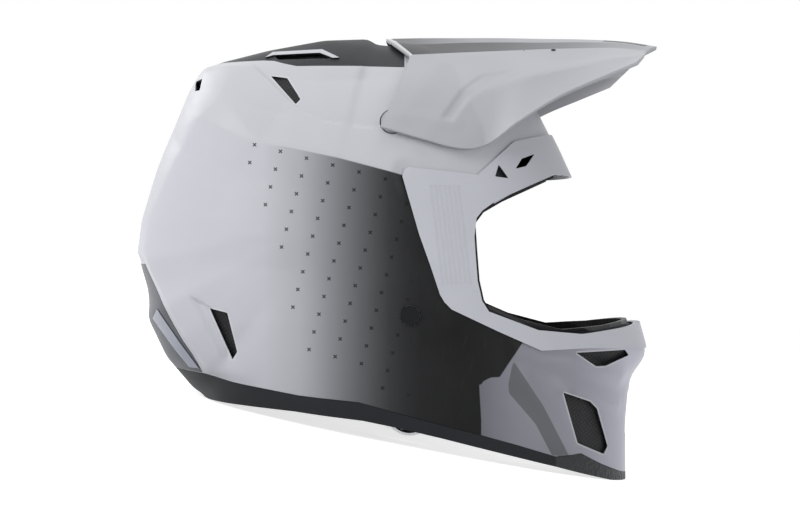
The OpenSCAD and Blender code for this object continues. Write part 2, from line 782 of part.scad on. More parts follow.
module visor() {
    rows = len(visor_centre);
    // Rows from the back edge to the tip, each from the left edge over the top to the right edge
    coarse = [for (i = [0 : rows - 1]) concat(
        [for (k = [0 : 4]) visor_lines[k][i]], [for (k = [3 : -1 : 0]) mirrored(visor_lines[k][i])]
    )];
    wide = [for (row = coarse) finer(row, 2)];
    m = len(wide[0]);
    columns = [for (j = [0 : m - 1]) finer([for (row = wide) row[j]], 2)];
    n = len(columns[0]);
    // The finer points are kept off the shell as well
    function p(i, j) = let (q = columns[j][i], y = off_shell(q[0], q[2], abs(q[1])))
        [q[0], q[1] < 0 ? -y : y, q[2]];
    function normal(i, j) = let (
        a = p(min(n - 1, i + 1), j) - p(max(0, i - 1), j),
        b = p(i, min(m - 1, j + 1)) - p(i, max(0, j - 1)),
        c = cross(a, b)
    ) c / norm(c);
    top = [for (i = [0 : n - 1]) for (j = [0 : m - 1]) p(i, j)];
    low = [for (i = [0 : n - 1]) for (j = [0 : m - 1]) p(i, j) + visor_wall * normal(i, j)];
    function id(i, j) = i * m + j;
    o = len(top);
    quads = [for (i = [0 : n - 2]) for (j = [0 : m - 2])
        [id(i, j), id(i + 1, j), id(i + 1, j + 1), id(i, j + 1)]];
    rim = concat(
        [for (j = [0 : m - 2]) [id(0, j), id(0, j + 1)]],
        [for (i = [0 : n - 2]) [id(i, m - 1), id(i + 1, m - 1)]],
        [for (j = [m - 1 : -1 : 1]) [id(n - 1, j), id(n - 1, j - 1)]],
        [for (i = [n - 1 : -1 : 1]) [id(i, 0), id(i - 1, 0)]]
    );
    color("#cdced4") stand() polyhedron(points = concat(top, low), faces = concat(
        [for (q = quads) [q[0], q[1], q[2]]], [for (q = quads) [q[0], q[2], q[3]]],
        [for (q = quads) [o + q[2], o + q[1], o + q[0]]], [for (q = quads) [o + q[3], o + q[2], o + q[0]]],
        [for (e = rim) [e[0], e[1], o + e[1]]], [for (e = rim) [e[0], o + e[1], o + e[0]]]
    ), convexity = 6);
}

module at_pivot(y) {
    stand() both_sides() translate([pivot_x, y, pivot_z]) rotate([-90, 0, 0]) children();
}

module visor_arm_bosses() {
    color("#26272a") at_pivot(boss_in) difference() {
        cylinder(d = boss_d, h = boss_out - boss_in, $fn = 64);
        translate([0, 0, -1]) cylinder(r = stud_d / 2 + stud_clearance, h = boss_out - boss_in + 2, $fn = 64);
    }
}

module visor_pivot_sockets() {
    color("#303136") at_pivot(socket_face - socket_t) difference() {
        union() {
            cylinder(d = socket_d, h = socket_t, $fn = 64);
            translate([0, 0, -flange_t]) cylinder(d = flange_d, h = flange_t, $fn = 64);
        }
        translate([0, 0, -flange_t - 1])
            cylinder(r = stud_d / 2 + stud_clearance, h = socket_t + flange_t + 2, $fn = 64);
    }
}

module visor_pivot_studs() {
    color("#8d8f94") at_pivot(socket_face - socket_t - flange_t - 0.1) {
        cylinder(d = stud_d, h = boss_out - 0.6 - socket_face + socket_t + flange_t, $fn = 64);
        translate([0, 0, -stud_head_t]) cylinder(d = stud_head_d, h = stud_head_t, $fn = 64);
    }
}

visor_pin_spots = fit([[133, 116.5], [153, 117.5]]);
visor_pin_y = 50;

module visor_pins() {
    color("#202124") stand() both_sides() for (p = visor_pin_spots)
        translate([p[0], visor_pin_y * visor_half_w / 100, p[1] - 5]) cylinder(d = 3, h = 6, $fn = 24);
}

// Rivet through each side of the chin bar
rivet_x = 137 * SX;
rivet_z = -137 * SZ;
rivet_shank_d = 3.4;

module chin_rivets() {
    color("#2a2b2e") stand() both_sides()
        translate([rivet_x, skin_y(rivet_x, rivet_z, shell_wall + 1.5), rivet_z]) rotate([-90, 0, 0])
            cylinder(d = rivet_shank_d, h = shell_wall + 2, $fn = 24);
}

// Webbing swept along a route of [y, z] points, its width along X
module webbing(route) {
    n = len(route);
    function normal(i) = let (t = route[min(n - 1, i + 1)] - route[max(0, i - 1)]) [-t[1], t[0]] / norm(t);
    w = strap_w / 2;
    points = [for (i = [0 : n - 1])
        let (a = route[i] + normal(i) * strap_t / 2, b = route[i] - normal(i) * strap_t / 2)
            each [[-w, a[0], a[1]], [w, a[0], a[1]], [w, b[0], b[1]], [-w, b[0], b[1]]]];
    last = 4 * (n - 1);
    translate([anchor_x, 0, 0]) polyhedron(points = points, faces = concat(
        [[0, 1, 2, 3]], [[last + 3, last + 2, last + 1, last]],
        [for (i = [0 : n - 2]) for (k = [0 : 3])
            let (a = 4 * i + k, b = 4 * i + (k + 1) % 4) [a, a + 4, b + 4, b]]
    ), convexity = 6);
}

strap_down = [
    [strap_y, anchor_z + 8], [strap_y, -80 * SZ], [strap_y, -106 * SZ], [strap_y - 2, -112.5 * SZ],
    [strap_y - 6, -116.5 * SZ], [strap_y - 12, -119 * SZ], [strap_y - 20, -120 * SZ]
];
short_end = [[80 * SY, -120.5 * SZ], [72 * SY, -120.5 * SZ]];
long_end = [
    [80 * SY, -121.5 * SZ], [70 * SY, -123.5 * SZ], [60 * SY, -127.5 * SZ], [50 * SY, -132 * SZ],
    [40 * SY, -135.5 * SZ], [30 * SY, -137.5 * SZ], [20 * SY, -138.5 * SZ], [8 * SY, -138.8 * SZ]
];

module strap_short() {
    color("#1d1d1f") stand() mirror([0, 1, 0]) webbing(concat(strap_down, short_end));
}

module strap_long() {
    color("#1d1d1f") stand() webbing(concat(strap_down, long_end));
}

module strap_snap() {
    color("#26262a") stand() translate([anchor_x, 16 * SY, -138.7 * SZ]) {
        translate([0, 0, strap_t / 2]) cylinder(d = 12, h = 1.4, $fn = 48);
        translate([0, 0, -strap_t / 2 - 1]) cylinder(d = 9, h = 1, $fn = 48);
        translate([0, 0, -strap_t / 2 - 0.5]) cylinder(d = 4, h = strap_t + 1, $fn = 24);
    }
}

// D-rings hang from two bars in a sewn sleeve at the end of the short strap
ring_bar = [short_end[1][0] - 4, short_end[1][1]];
ring_pitch = ring_wire_d + 3.4;
ring_bend = ring_wire_d;
sleeve_r = ring_wire_d / 2 + 1.3;
sleeve_l = strap_w - 2;

module d_ring() {
    r = ring_wire_d / 2;
    half = ring_inner_w / 2 + r;
    color("#a7a9ae") {
        translate([-half + ring_bend, 0, 0]) rotate([0, 90, 0])
            cylinder(r = r, h = 2 * (half - ring_bend), $fn = 32);
        for (side = [0, 1]) mirror([side, 0, 0]) {
            translate([half - ring_bend, 0, -ring_bend]) rotate([90, 0, 0])
                rotate_extrude(angle = 90, $fn = 32) translate([ring_bend, 0]) circle(r = r, $fn = 32);
            translate([half, 0, half - ring_drop])
                cylinder(r = r, h = ring_drop - half - ring_bend, $fn = 32);
        }
        translate([0, 0, half - ring_drop]) rotate([90, 0, 0]) rotate([0, 0, 180])
            rotate_extrude(angle = 180, $fn = 64) translate([half, 0]) circle(r = r, $fn = 32);
    }
}

module at_ring(k) {
    stand() translate([anchor_x, -ring_bar[0] + k * ring_pitch, ring_bar[1]]) children();
}

module d_ring_inner() { at_ring(0) d_ring(); }
module d_ring_outer() { at_ring(1) d_ring(); }

module d_ring_sleeve() {
    color("#1d1d1f") at_ring(0) rotate([90, 0, 90]) translate([0, 0, -sleeve_l / 2]) difference() {
        linear_extrude(sleeve_l) union() {
            circle(r = sleeve_r, $fn = 48);
            translate([ring_pitch, 0]) circle(r = sleeve_r, $fn = 48);
            translate([-4, -strap_t / 2]) square([4 + ring_pitch, strap_t]);
        }
        for (k = [0, 1]) translate([k * ring_pitch, 0, -1])
            cylinder(r = ring_wire_d / 2 + 0.05, h = sleeve_l + 2, $fn = 48);
    }
}

outer_shell();
crown_insert();
face_frame();
eye_port_gasket();
chin_deflector();
base_trim();
chin_skid();
rear_bumper();
rear_bumper_inserts();
brow_vent_plugs();
upper_vent_screens();
lower_vent_screens();
crown_vent_screens();
rear_vent_screens();
chin_upper_screens();
chin_lower_screens();
mouth_vent_grille();
mouth_vent_filter();
strap_anchor_caps();
strap_rivets();
strap_anchor_plates();
impact_liner();
chin_liner();
slip_discs();
crown_pad();
neck_roll();
cheek_core_left();
cheek_core_right();
cheek_snap_sockets();
cheek_pad_left();
cheek_pad_right();
cheek_snaps_left();
cheek_snaps_right();
release_tab_left();
release_tab_right();
visor();
visor_arm_bosses();
visor_pivot_studs();
visor_pivot_sockets();
visor_pins();
chin_rivets();
strap_short();
strap_long();
strap_snap();
d_ring_sleeve();
d_ring_inner();
d_ring_outer();
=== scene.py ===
"""Finish of a full-face off-road helmet: lacquered shell, peak, covers, vents, padding and strap.

Shapes are drawn in millimetres in the worn frame, with +X to the face, +Z up and the origin on the axis
through both ears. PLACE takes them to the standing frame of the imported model, in metres.
"""

import json
import math

import bmesh
import bpy
import numpy as np
from mathutils import Matrix, Vector


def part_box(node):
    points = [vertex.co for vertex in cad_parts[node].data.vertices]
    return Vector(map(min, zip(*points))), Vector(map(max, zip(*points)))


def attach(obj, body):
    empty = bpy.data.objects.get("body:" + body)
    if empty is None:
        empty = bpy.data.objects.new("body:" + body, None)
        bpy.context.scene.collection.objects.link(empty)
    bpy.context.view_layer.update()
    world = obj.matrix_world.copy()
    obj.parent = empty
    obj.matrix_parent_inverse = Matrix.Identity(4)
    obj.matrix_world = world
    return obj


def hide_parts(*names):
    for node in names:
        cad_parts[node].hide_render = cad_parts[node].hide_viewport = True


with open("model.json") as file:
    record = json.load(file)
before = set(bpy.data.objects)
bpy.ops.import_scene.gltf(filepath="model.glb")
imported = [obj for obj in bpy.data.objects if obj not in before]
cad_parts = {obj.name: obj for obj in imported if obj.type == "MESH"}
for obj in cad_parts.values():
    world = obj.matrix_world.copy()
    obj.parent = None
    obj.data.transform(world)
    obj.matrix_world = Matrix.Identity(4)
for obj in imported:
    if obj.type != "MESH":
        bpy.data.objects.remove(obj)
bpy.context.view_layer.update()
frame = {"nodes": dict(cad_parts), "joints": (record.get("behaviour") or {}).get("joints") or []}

bl_info = {
    "name": "Off-road helmet finish",
    "version": (1, 0, 0),
    "blender": (4, 5, 0),
    "location": "View3D > Sidebar > Helmet",
    "description": "Builds the lacquered shell, peak, vents, padding and strap of an off-road helmet",
    "category": "Object",
}

# The two frames: the ring joints' axis gives the standing tilt, and the peak's pivot gives the shift
JOINTS = {joint["name"]: joint for joint in frame["joints"]}
RING_AXIS = JOINTS["ring_inner_swing"]["axis"]
TILT = math.atan2(RING_AXIS[2], RING_AXIS[0])
PIVOT = Vector((44, 0, 66))
STOOD_PIVOT = Vector(JOINTS["visor_tilt"]["pos_m"])
TURN = Matrix.Rotation(-TILT, 4, "Y")
SHIFT = STOOD_PIVOT - TURN @ (PIVOT * 0.001)
PLACE = Matrix.Translation(SHIFT) @ TURN @ Matrix.Scale(0.001, 4)

# Clearances and depths of the layers, in millimetres
GAP = 0.3
SHELL_WALL = 4
COVER_WALL = 1.6
LINER_OUT = SHELL_WALL + GAP
LINER_IN = LINER_OUT + 27
PEAK_WALL = 2.4
PEAK_STAND_OFF = 2.6 + PEAK_WALL
HALF_WIDTH = 122
ROUNDNESS = 2.3

# Lines of the helmet from the side, as (x, z)
SHELL_OUTLINE = [
    (221, -90), (209, -106), (206, -139), (206, -181), (206, -225), (168, -317), (60, -312), (0, -280),
    (-49, -182), (-76, -142), (-87, -118), (-94, -114), (-113, -92), (-126, -65), (-125, -56), (-126, -45),
    (-131.5, -26), (-127.5, 2), (-117, 38.5), (-105, 70), (-97, 92), (-87.5, 107), (-75.5, 112.5),
    (-42, 121), (-3.5, 128), (28, 129), (32, 125), (40, 124.5), (84, 118.5), (119, 104), (139, 86),
    (145, 78), (158, 52.5), (175, 15), (189, -17.5), (213, -62),
]
EYE_PORT = [
    (153, 33), (122, 19), (103, 8), (97, 0), (98, -18), (99.5, -38), (102.5, -51), (107, -58),
    (129, -67.5), (156, -74.5), (184, -72.5), (206, -69),
]
FRAME_OUTER = [
    (180, 69), (154, 62), (125, 54.5), (100, 31.5), (54.5, 36), (52, 34.5), (50.5, 30), (61.5, -8),
    (69, -29),
    (75, -47), (78, -52), (82.5, -56.5), (113, -71), (142, -84), (176, -83), (208, -84), (240, -87),
]
FRAME_INNER = [
    (180, 33), (153, 33), (122, 19), (110, 13), (103, 8), (99, 3), (97.5, -9), (98, -18), (99.5, -38),
    (102.5, -51), (107, -58), (140, -70.5), (170, -73.5), (206, -69), (240, -62),
]
TRIM_TOP = [
    (-150, -95.5), (-104, -98.5), (-83, -100.5), (-62, -105.5), (-17, -113), (22, -117), (49, -124.5),
    (69, -130), (102, -139), (126, -146), (152, -154.5),
]
TRIM_BOTTOM = [
    (-150, -118), (-104, -118.3), (-83, -119), (-60, -120.5), (-20, -123.5), (25, -129), (49, -134),
    (76, -140.5), (104, -148), (130, -155), (152, -161),
]
SKID_TOP = [(152, -154.5), (165, -158.5), (180, -162.5), (196, -167.5), (212, -172)]
SKID_RISE = [(152, -154.5), (158, -154.2), (169.5, -153.3), (184, -161.5), (200, -169), (212, -173.5)]
SKID_BOTTOM = [(152, -161), (165, -165), (180, -169.5), (196, -174.5), (212, -180)]
CROWN_EDGE = [
    (-76, 110.7), (-60, 110.5), (-44, 110.3), (-36, 109.6), (-28, 107), (-20, 105), (0, 104.8), (52, 104.4),
]
BUMPER_EDGE = [
    (-124, -27), (-119, -37), (-114, -46), (-108, -57), (-102, -68), (-96, -78), (-90, -87), (-86, -94),
    (-83.5, -99.4),
]
INSERT_FRONT = [(-115, -57), (-85.5, -97.5)]
INSERT_BACK = [(-119.5, -64), (-93, -97)]
VENTS = {
    "upper": [(-37, 98), (-26, 96.5), (-16.5, 81.5), (-19.5, 78)],
    "lower": [(-76, -56), (-64, -59), (-58, -85), (-61.5, -90)],
    "crown": [(-36, 113.6), (-5, 114.4), (3, 110.3), (-33, 110.3)],
    "chin_low": [(157, -112), (176, -119), (181, -124), (189, -150), (186, -155), (167, -146)],
    "chin_up": [(166, -86), (201, -85), (204, -89), (187, -95.5), (180, -95.5)],
    "brow_plug": [(111.5, 30.5), (114, 38.5), (120.5, 29.5)],
    "brow_slot": [(125.5, 36), (130, 43), (139, 46.5), (133, 38)],
    "brow_notch": [(136, 72), (140, 75), (140, 66)],
    "rear_top": [(-90, 97), (-84.5, 98), (-85.5, 89.5), (-89.5, 89.5)],
}
CROWN_LIP = [(-42, 112.6), (-37.5, 117), (-3.5, 117.6), (8.5, 110.9), (4, 110.7), (-5, 114.8),
             (-36.5, 114.2)]
REAR_VENT_Z = (44, 12)
REAR_VENT_Y = 26
REAR_VENT_H = 13
MOUTH_VENT = (46, 30)
MOUTH_VENT_Z = -130
ANCHOR = (55.5, -60.5)
ANCHOR_HOLE_R = 6.8
BOSS_HOLE_R = 8.3

# Creases and shallow recesses of the lacquered shell
REAR_CREASE = [(-62, 96), (-70, 75), (-97, 41), (-115, 3), (-118, -17), (-99, -65), (-82, -100)]
UPPER_CREASE = [(-80, 66), (-48, 52), (-25, 49), (10, 41.5), (50, 31)]
MID_CREASE = [(-86, -26), (-25, -32), (29, -40), (60, -46)]
CHIN_EDGE = [(200, -42), (129, -79), (114, -101), (108, -101), (100.5, -105), (102, -129), (102, -200)]
CHIN_BAND = [(123, -90), (143, -120), (162, -156), (149, -153), (138, -132), (119, -110)]
CROSSES_LEFT = [(-60, 80), (-51, 36), (-41, 6), (-27, -22), (-23.5, -62), (-12, -90), (-6, -110)]
CROSSES_LOW = [(-60, -78), (-20, -88), (5, -95), (23, -100), (36, -116), (60, -119)]
CROWN_STEP = [(-54, 108), (-19, 75), (-4, 66.5), (26.5, 61), (48, 60)]
LOWER_DISH = [(-91, -44), (-74, -54), (-57, -84), (-65, -93)]
CHIN_CREASES = [
    ([(127, -99), (161, -156)], 9, 3.0),
    ([(124, -118), (149, -152)], 7, 2.2),
    ([(126, -82), (150, -88), (196, -102)], 9, 3.4),
    ([(153, -107), (172, -113), (195, -122)], 6, 2.8),
    ([(157, -109), (168, -145), (187, -155)], 5, 2.0),
]


# ---------------------------------------------------------------- skin of the helmet

def divided(points, step):
    """Closed outline with its long edges divided."""
    made = []
    for a, b in zip(points, points[1:] + points[:1]):
        count = max(1, round(math.dist(a, b) / step))
        made += [tuple(a[k] + (b[k] - a[k]) * i / count for k in (0, 1)) for i in range(count)]
    return made


def reach_table(samples=1440, blur=4):
    """Distance from the ear axis to the outline in every direction, with its corners eased."""
    points = np.array(divided(SHELL_OUTLINE, 1.0))
    angles = np.arctan2(points[:, 1], points[:, 0])
    order = np.argsort(angles)
    grid = np.linspace(-math.pi, math.pi, samples, endpoint=False)
    reach = np.interp(grid, angles[order], np.hypot(*points.T)[order], period=2 * math.pi)
    kernel = np.exp(-0.5 * (np.arange(-3 * blur, 3 * blur + 1) / blur) ** 2)
    wrapped = np.concatenate([reach[-3 * blur:], reach, reach[:3 * blur]])
    return grid, np.convolve(wrapped, kernel / kernel.sum(), "valid")


REACH = reach_table()


def reach(angle):
    return np.interp(angle, REACH[0], REACH[1], period=2 * math.pi)


def lame(value):
    return np.abs(value) ** (2 / ROUNDNESS)


def on_skin(turn, swing, depth):
    """Points of the skin at a depth, from the turn round the ear axis and the swing from the left ear."""
    radius = (reach(turn) - depth) * lame(np.sin(swing))
    across = (HALF_WIDTH - depth) * np.sign(np.cos(swing)) * lame(np.cos(swing))
    return np.stack([radius * np.cos(turn), across, radius * np.sin(turn)], axis=-1)


def skin_y(x, z, depth=0.0):
    """Half width of the skin above the side point (x, z)."""
    share = np.clip(np.hypot(x, z) / (reach(np.arctan2(z, x)) - depth), 0, 1)
    return (HALF_WIDTH - depth) * (1 - share ** ROUNDNESS) ** (1 / ROUNDNESS)


def from_line(x, z, line):
    """Distance to a line of points, with its sign: positive on the line's left-hand side."""
    best = np.full(x.shape, 1e9)
    signed = np.zeros(x.shape)
    for a, b in zip(line, line[1:]):
        ex, ez = b[0] - a[0], b[1] - a[1]
        t = np.clip(((x - a[0]) * ex + (z - a[1]) * ez) / (ex * ex + ez * ez), 0, 1)
        dx, dz = x - a[0] - t * ex, z - a[1] - t * ez
        distance = np.hypot(dx, dz)
        nearer = distance < best
        best = np.where(nearer, distance, best)
        signed = np.where(nearer, np.sign(ex * dz - ez * dx) * distance, signed)
    return signed


def smooth(low, high, value):
    t = np.clip((value - low) / (high - low), 0, 1)
    return t * t * (3 - 2 * t)


def ridge(x, z, line, width, height):
    return height * np.clip(1 - np.abs(from_line(x, z, line)) / width, 0, 1)


def inside(x, z, outline):
    """Distance inside a closed outline, negative outside."""
    near = np.full(x.shape, 1e9)
    within = np.zeros(x.shape, dtype=bool)
    for a, b in zip(outline, outline[1:] + outline[:1]):
        near = np.minimum(near, np.abs(from_line(x, z, [a, b])))
        if a[1] != b[1]:
            crosses = (a[1] > z) != (b[1] > z)
            within ^= crosses & (x < a[0] + (z - a[1]) / (b[1] - a[1]) * (b[0] - a[0]))
    return np.where(within, near, -near)


def relief(x, y, z):
    """How far the lacquered surface stands out at a point of the skin, in millimetres."""
    height = ridge(x, z, REAR_CREASE, 38, 5.6)
    height += ridge(x, z, UPPER_CREASE, 22, 3.8)
    valley = from_line(x, z, MID_CREASE)
    fade = smooth(-88, -50, x)
    height -= 2.6 * fade * np.where(valley > 0, np.clip(1 - valley / 22, 0, 1),
                                    np.clip(1 + valley / 36, 0, 1))
    step = from_line(x, z, CROWN_STEP)
    height -= 2.8 * smooth(0, 3, step) * smooth(50, 15, x) * smooth(-62, -48, x)
    height -= 2.4 * smooth(0, 3, inside(x, z, LOWER_DISH))
    for line, width, rise in CHIN_CREASES:
        height += ridge(x, z, line, width, rise)
    covers = (FRAME_OUTER + FRAME_INNER[::-1], CROWN_EDGE + [(52, 160), (-76, 160)],
              BUMPER_EDGE + [(-160, -99), (-160, -27)])
    for cover in covers:
        height *= smooth(0, 9, -inside(x, z, cover))
    return height * smooth(0, 8, from_line(x, z, TRIM_TOP + SKID_TOP[1:])) * smooth(8, 45, np.abs(y))


# ---------------------------------------------------------------- meshes

def points_of(bm):
    return np.array([v.co for v in bm.verts])


def move_points(bm, points):
    for vert, point in zip(bm.verts, points):
        vert.co = point


def ball(cuts, depth, relieved=False):
    """Closed skin at a depth: a divided cube, blown up to a ball and laid on the skin."""
    bm = bmesh.new()
    bmesh.ops.create_cube(bm, size=2)
    bmesh.ops.subdivide_edges(bm, edges=bm.edges[:], cuts=cuts, use_grid_fill=True)
    ray = np.tan(points_of(bm) * math.pi / 4)
    ray /= np.linalg.norm(ray, axis=1)[:, None]
    turn = np.arctan2(ray[:, 2], ray[:, 0])
    swing = np.arccos(np.clip(ray[:, 1], -1, 1))
    points = on_skin(turn, swing, depth)
    if relieved:
        height = relief(*points.T)
        points *= (1 + height / np.linalg.norm(points, axis=1))[:, None]
    move_points(bm, points)
    return bm


def add_mesh(bm, other, flip=False):
    """Copies another bmesh into bm, turned inside out if asked."""
    mesh = bpy.data.meshes.new("part")
    if flip:
        bmesh.ops.reverse_faces(other, faces=other.faces)
    other.to_mesh(mesh)
    other.free()
    bm.from_mesh(mesh)
    bpy.data.meshes.remove(mesh)


def plain_object(bm, name="part"):
    mesh = bpy.data.meshes.new(name)
    bm.to_mesh(mesh)
    bm.free()
    obj = bpy.data.objects.new(name, mesh)
    bpy.context.scene.collection.objects.link(obj)
    return obj


def wall_between(outer, inner, cuts=56, relieved=False):
    """Hollow ball between two depths of the skin, as an object in the worn frame."""
    bm = ball(cuts, outer, relieved)
    bmesh.ops.recalc_face_normals(bm, faces=bm.faces)
    hollow = ball(max(24, cuts // 2), inner)
    bmesh.ops.recalc_face_normals(hollow, faces=hollow.faces)
    add_mesh(bm, hollow, flip=True)
    return plain_object(bm)


def prism(outline, low=-200.0, high=200.0, rounding=0.0):
    """Side outline pushed through the helmet from one y to another."""
    bm = bmesh.new()
    points = rounded(outline, rounding) if rounding else outline
    face = bm.faces.new([bm.verts.new((x, low, z)) for x, z in points])
    pushed = bmesh.ops.extrude_face_region(bm, geom=[face])["geom"]
    top = [part for part in pushed if isinstance(part, bmesh.types.BMVert)]
    bmesh.ops.translate(bm, verts=top, vec=(0, high - low, 0))
    bmesh.ops.recalc_face_normals(bm, faces=bm.faces)
    return plain_object(bm)


def rounded(outline, radius, count=4):
    """Closed outline with each corner replaced by a short curve."""
    made = []
    for k, corner in enumerate(outline):
        here = Vector(corner)
        before, after = Vector(outline[k - 1]), Vector(outline[(k + 1) % len(outline)])
        one, two = before - here, after - here
        cut = min(radius, one.length * 0.45, two.length * 0.45)
        start, end = here + one.normalized() * cut, here + two.normalized() * cut
        for i in range(count + 1):
            t = i / count
            made.append(tuple(start * (1 - t) ** 2 + here * 2 * t * (1 - t) + end * t * t))
    return made


def rod(x, z, radius, low, high, sides=48):
    """Round bar along Y."""
    bm = bmesh.new()
    bmesh.ops.create_cone(bm, cap_ends=True, segments=sides, radius1=radius, radius2=radius,
                          depth=high - low)
    bmesh.ops.rotate(bm, verts=bm.verts, matrix=Matrix.Rotation(math.pi / 2, 3, "X"))
    bmesh.ops.translate(bm, verts=bm.verts, vec=(x, (low + high) / 2, z))
    return plain_object(bm)


def block(low, high, rounding=0.0):
    """Box between two corners, with its edges rounded if asked."""
    bm = bmesh.new()
    bmesh.ops.create_cube(bm, size=1)
    size = Vector(high) - Vector(low)
    bmesh.ops.scale(bm, verts=bm.verts, vec=size)
    bmesh.ops.translate(bm, verts=bm.verts, vec=(Vector(high) + Vector(low)) / 2)
    if rounding:
        bmesh.ops.bevel(bm, geom=bm.edges[:], offset=rounding, affect="EDGES", segments=3, profile=0.5,
                        material=-1)
    return plain_object(bm)


def apply_modifiers(obj):
    bpy.context.view_layer.update()
    graph = bpy.context.evaluated_depsgraph_get()
    old = obj.data
    obj.data = bpy.data.meshes.new_from_object(obj.evaluated_get(graph), depsgraph=graph)
    obj.modifiers.clear()
    bpy.data.meshes.remove(old)
    return obj


def combine(obj, others, how):
    """Cuts, joins or crosses obj with other closed objects, which are used up."""
    for other in others:
        modifier = obj.modifiers.new("combine", "BOOLEAN")
        modifier.operation = how
        modifier.solver = "MANIFOLD"
        modifier.object = other
        apply_modifiers(obj)
        mesh = other.data
        bpy.data.objects.remove(other)
        bpy.data.meshes.remove(mesh)
    if not obj.data.polygons:
        raise RuntimeError("a cut left nothing of " + obj.name)
    return obj


def both_sides(outline, low=20.0, rounding=0.8):
    return [prism(outline, low, 200, rounding), prism(outline, -200, -low, rounding)]


def between(edge_a, edge_b, rounding=0.0):
    """Prism between two edge lines that run the same way."""
    return prism(list(edge_a) + list(reversed(edge_b)), rounding=rounding)


def drawn_in(outline, gap):
    """Outline moved towards its middle."""
    middle = Vector([sum(p[k] for p in outline) / len(outline) for k in (0, 1)])
    made = []
    for point in outline:
        arm = Vector(point) - middle
        made.append(tuple(middle + arm * (1 - gap / arm.length)))
    return made


def finish_piece(obj, name, node, body, material, sharp=38, place=PLACE):
    """Puts a piece drawn in the worn frame in its place, and gives it its body and material."""
    obj.name = name
    obj.data.name = name
    bm = bmesh.new()
    bm.from_mesh(obj.data)
    bmesh.ops.remove_doubles(bm, verts=bm.verts, dist=0.005)
    bmesh.ops.dissolve_degenerate(bm, edges=bm.edges, dist=0.004)
    bm.to_mesh(obj.data)
    bm.free()
    if place is not None:
        obj.data.transform(place)
    obj.data.shade_smooth()
    if sharp:
        obj.data.set_sharp_from_angle(angle=math.radians(sharp))
    obj.data.materials.clear()
    obj.data.materials.append(material)
    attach(obj, body)
    if node:
        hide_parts(*([node] if isinstance(node, str) else node))
    return obj


# ---------------------------------------------------------------- shader building

def put(tree, kind, inputs=None, **settings):
    """New node with its settings made and its inputs set or linked."""
    made = tree.nodes.new(kind)
    for key, value in settings.items():
        setattr(made, key, value)
    for key, value in (inputs or {}).items():
        if isinstance(value, bpy.types.NodeSocket):
            tree.links.new(value, made.inputs[key])
        else:
            made.inputs[key].default_value = value
    return made


def calc(tree, operation, *values, clamp=False):
    made = tree.nodes.new("ShaderNodeMath")
    made.operation = operation
    made.use_clamp = clamp
    for socket, value in zip(made.inputs, values):
        if isinstance(value, bpy.types.NodeSocket):
            tree.links.new(value, socket)
        else:
            socket.default_value = value
    return made.outputs[0]


def step_up(tree, value, low, high):
    """0 below low, 1 above high, smooth between."""
    made = put(tree, "ShaderNodeMapRange", {"Value": value, "From Min": low, "From Max": high},
               interpolation_type="SMOOTHSTEP")
    return made.outputs["Result"]


def mix_colour(tree, share, first, second):
    made = tree.nodes.new("ShaderNodeMix")
    made.data_type = "RGBA"
    sockets = [s for s in made.inputs if s.enabled]
    for socket, value in zip(sockets, (share, first, second)):
        if isinstance(value, bpy.types.NodeSocket):
            tree.links.new(value, socket)
        else:
            socket.default_value = value if not isinstance(value, tuple) else (*value[:3], 1)
    return [s for s in made.outputs if s.enabled][0]


def greys(tree, value, low, high, stops, blue=1.09):
    """Grey colour that follows a value through (value, grey) stops, with a cool cast."""
    share = put(tree, "ShaderNodeMapRange", {"Value": value, "From Min": low, "From Max": high})
    ramp = put(tree, "ShaderNodeValToRGB", {"Fac": share.outputs["Result"]})
    band = ramp.color_ramp
    while len(band.elements) < len(stops):
        band.elements.new(0.5)
    for element, (at, grey) in zip(band.elements, stops):
        element.position = (at - low) / (high - low)
        element.color = (grey, grey * 1.015, grey * blue, 1)
    return ramp.outputs["Color"]


def new_group(name, takes, gives):
    tree = bpy.data.node_groups.new(name, "ShaderNodeTree")
    for label, kind in takes:
        tree.interface.new_socket(label, in_out="INPUT", socket_type="NodeSocket" + kind)
    for label, kind in gives:
        tree.interface.new_socket(label, in_out="OUTPUT", socket_type="NodeSocket" + kind)
    start, end = tree.nodes.new("NodeGroupInput"), tree.nodes.new("NodeGroupOutput")
    return tree, start.outputs, end.inputs


def moulded_grain_group():
    """Pebbled mould texture with a slow change of tone."""
    tree, takes, gives = new_group("Moulded grain", [("Vector", "Vector"), ("Scale", "Float")],
                                   [("Height", "Float"), ("Tone", "Float")])
    cells = put(tree, "ShaderNodeTexVoronoi", {"Vector": takes["Vector"], "Scale": takes["Scale"]})
    fine = put(tree, "ShaderNodeTexNoise",
               {"Vector": takes["Vector"], "Scale": takes["Scale"], "Detail": 4.0})
    pebble = calc(tree, "MULTIPLY", cells.outputs["Distance"], 0.7)
    height = calc(tree, "ADD", pebble, calc(tree, "MULTIPLY", fine.outputs["Fac"], 0.5))
    slow = put(tree, "ShaderNodeTexNoise", {"Vector": takes["Vector"], "Scale": 22.0, "Detail": 5.0})
    tree.links.new(height, gives["Height"])
    tree.links.new(slow.outputs["Fac"], gives["Tone"])
    return tree


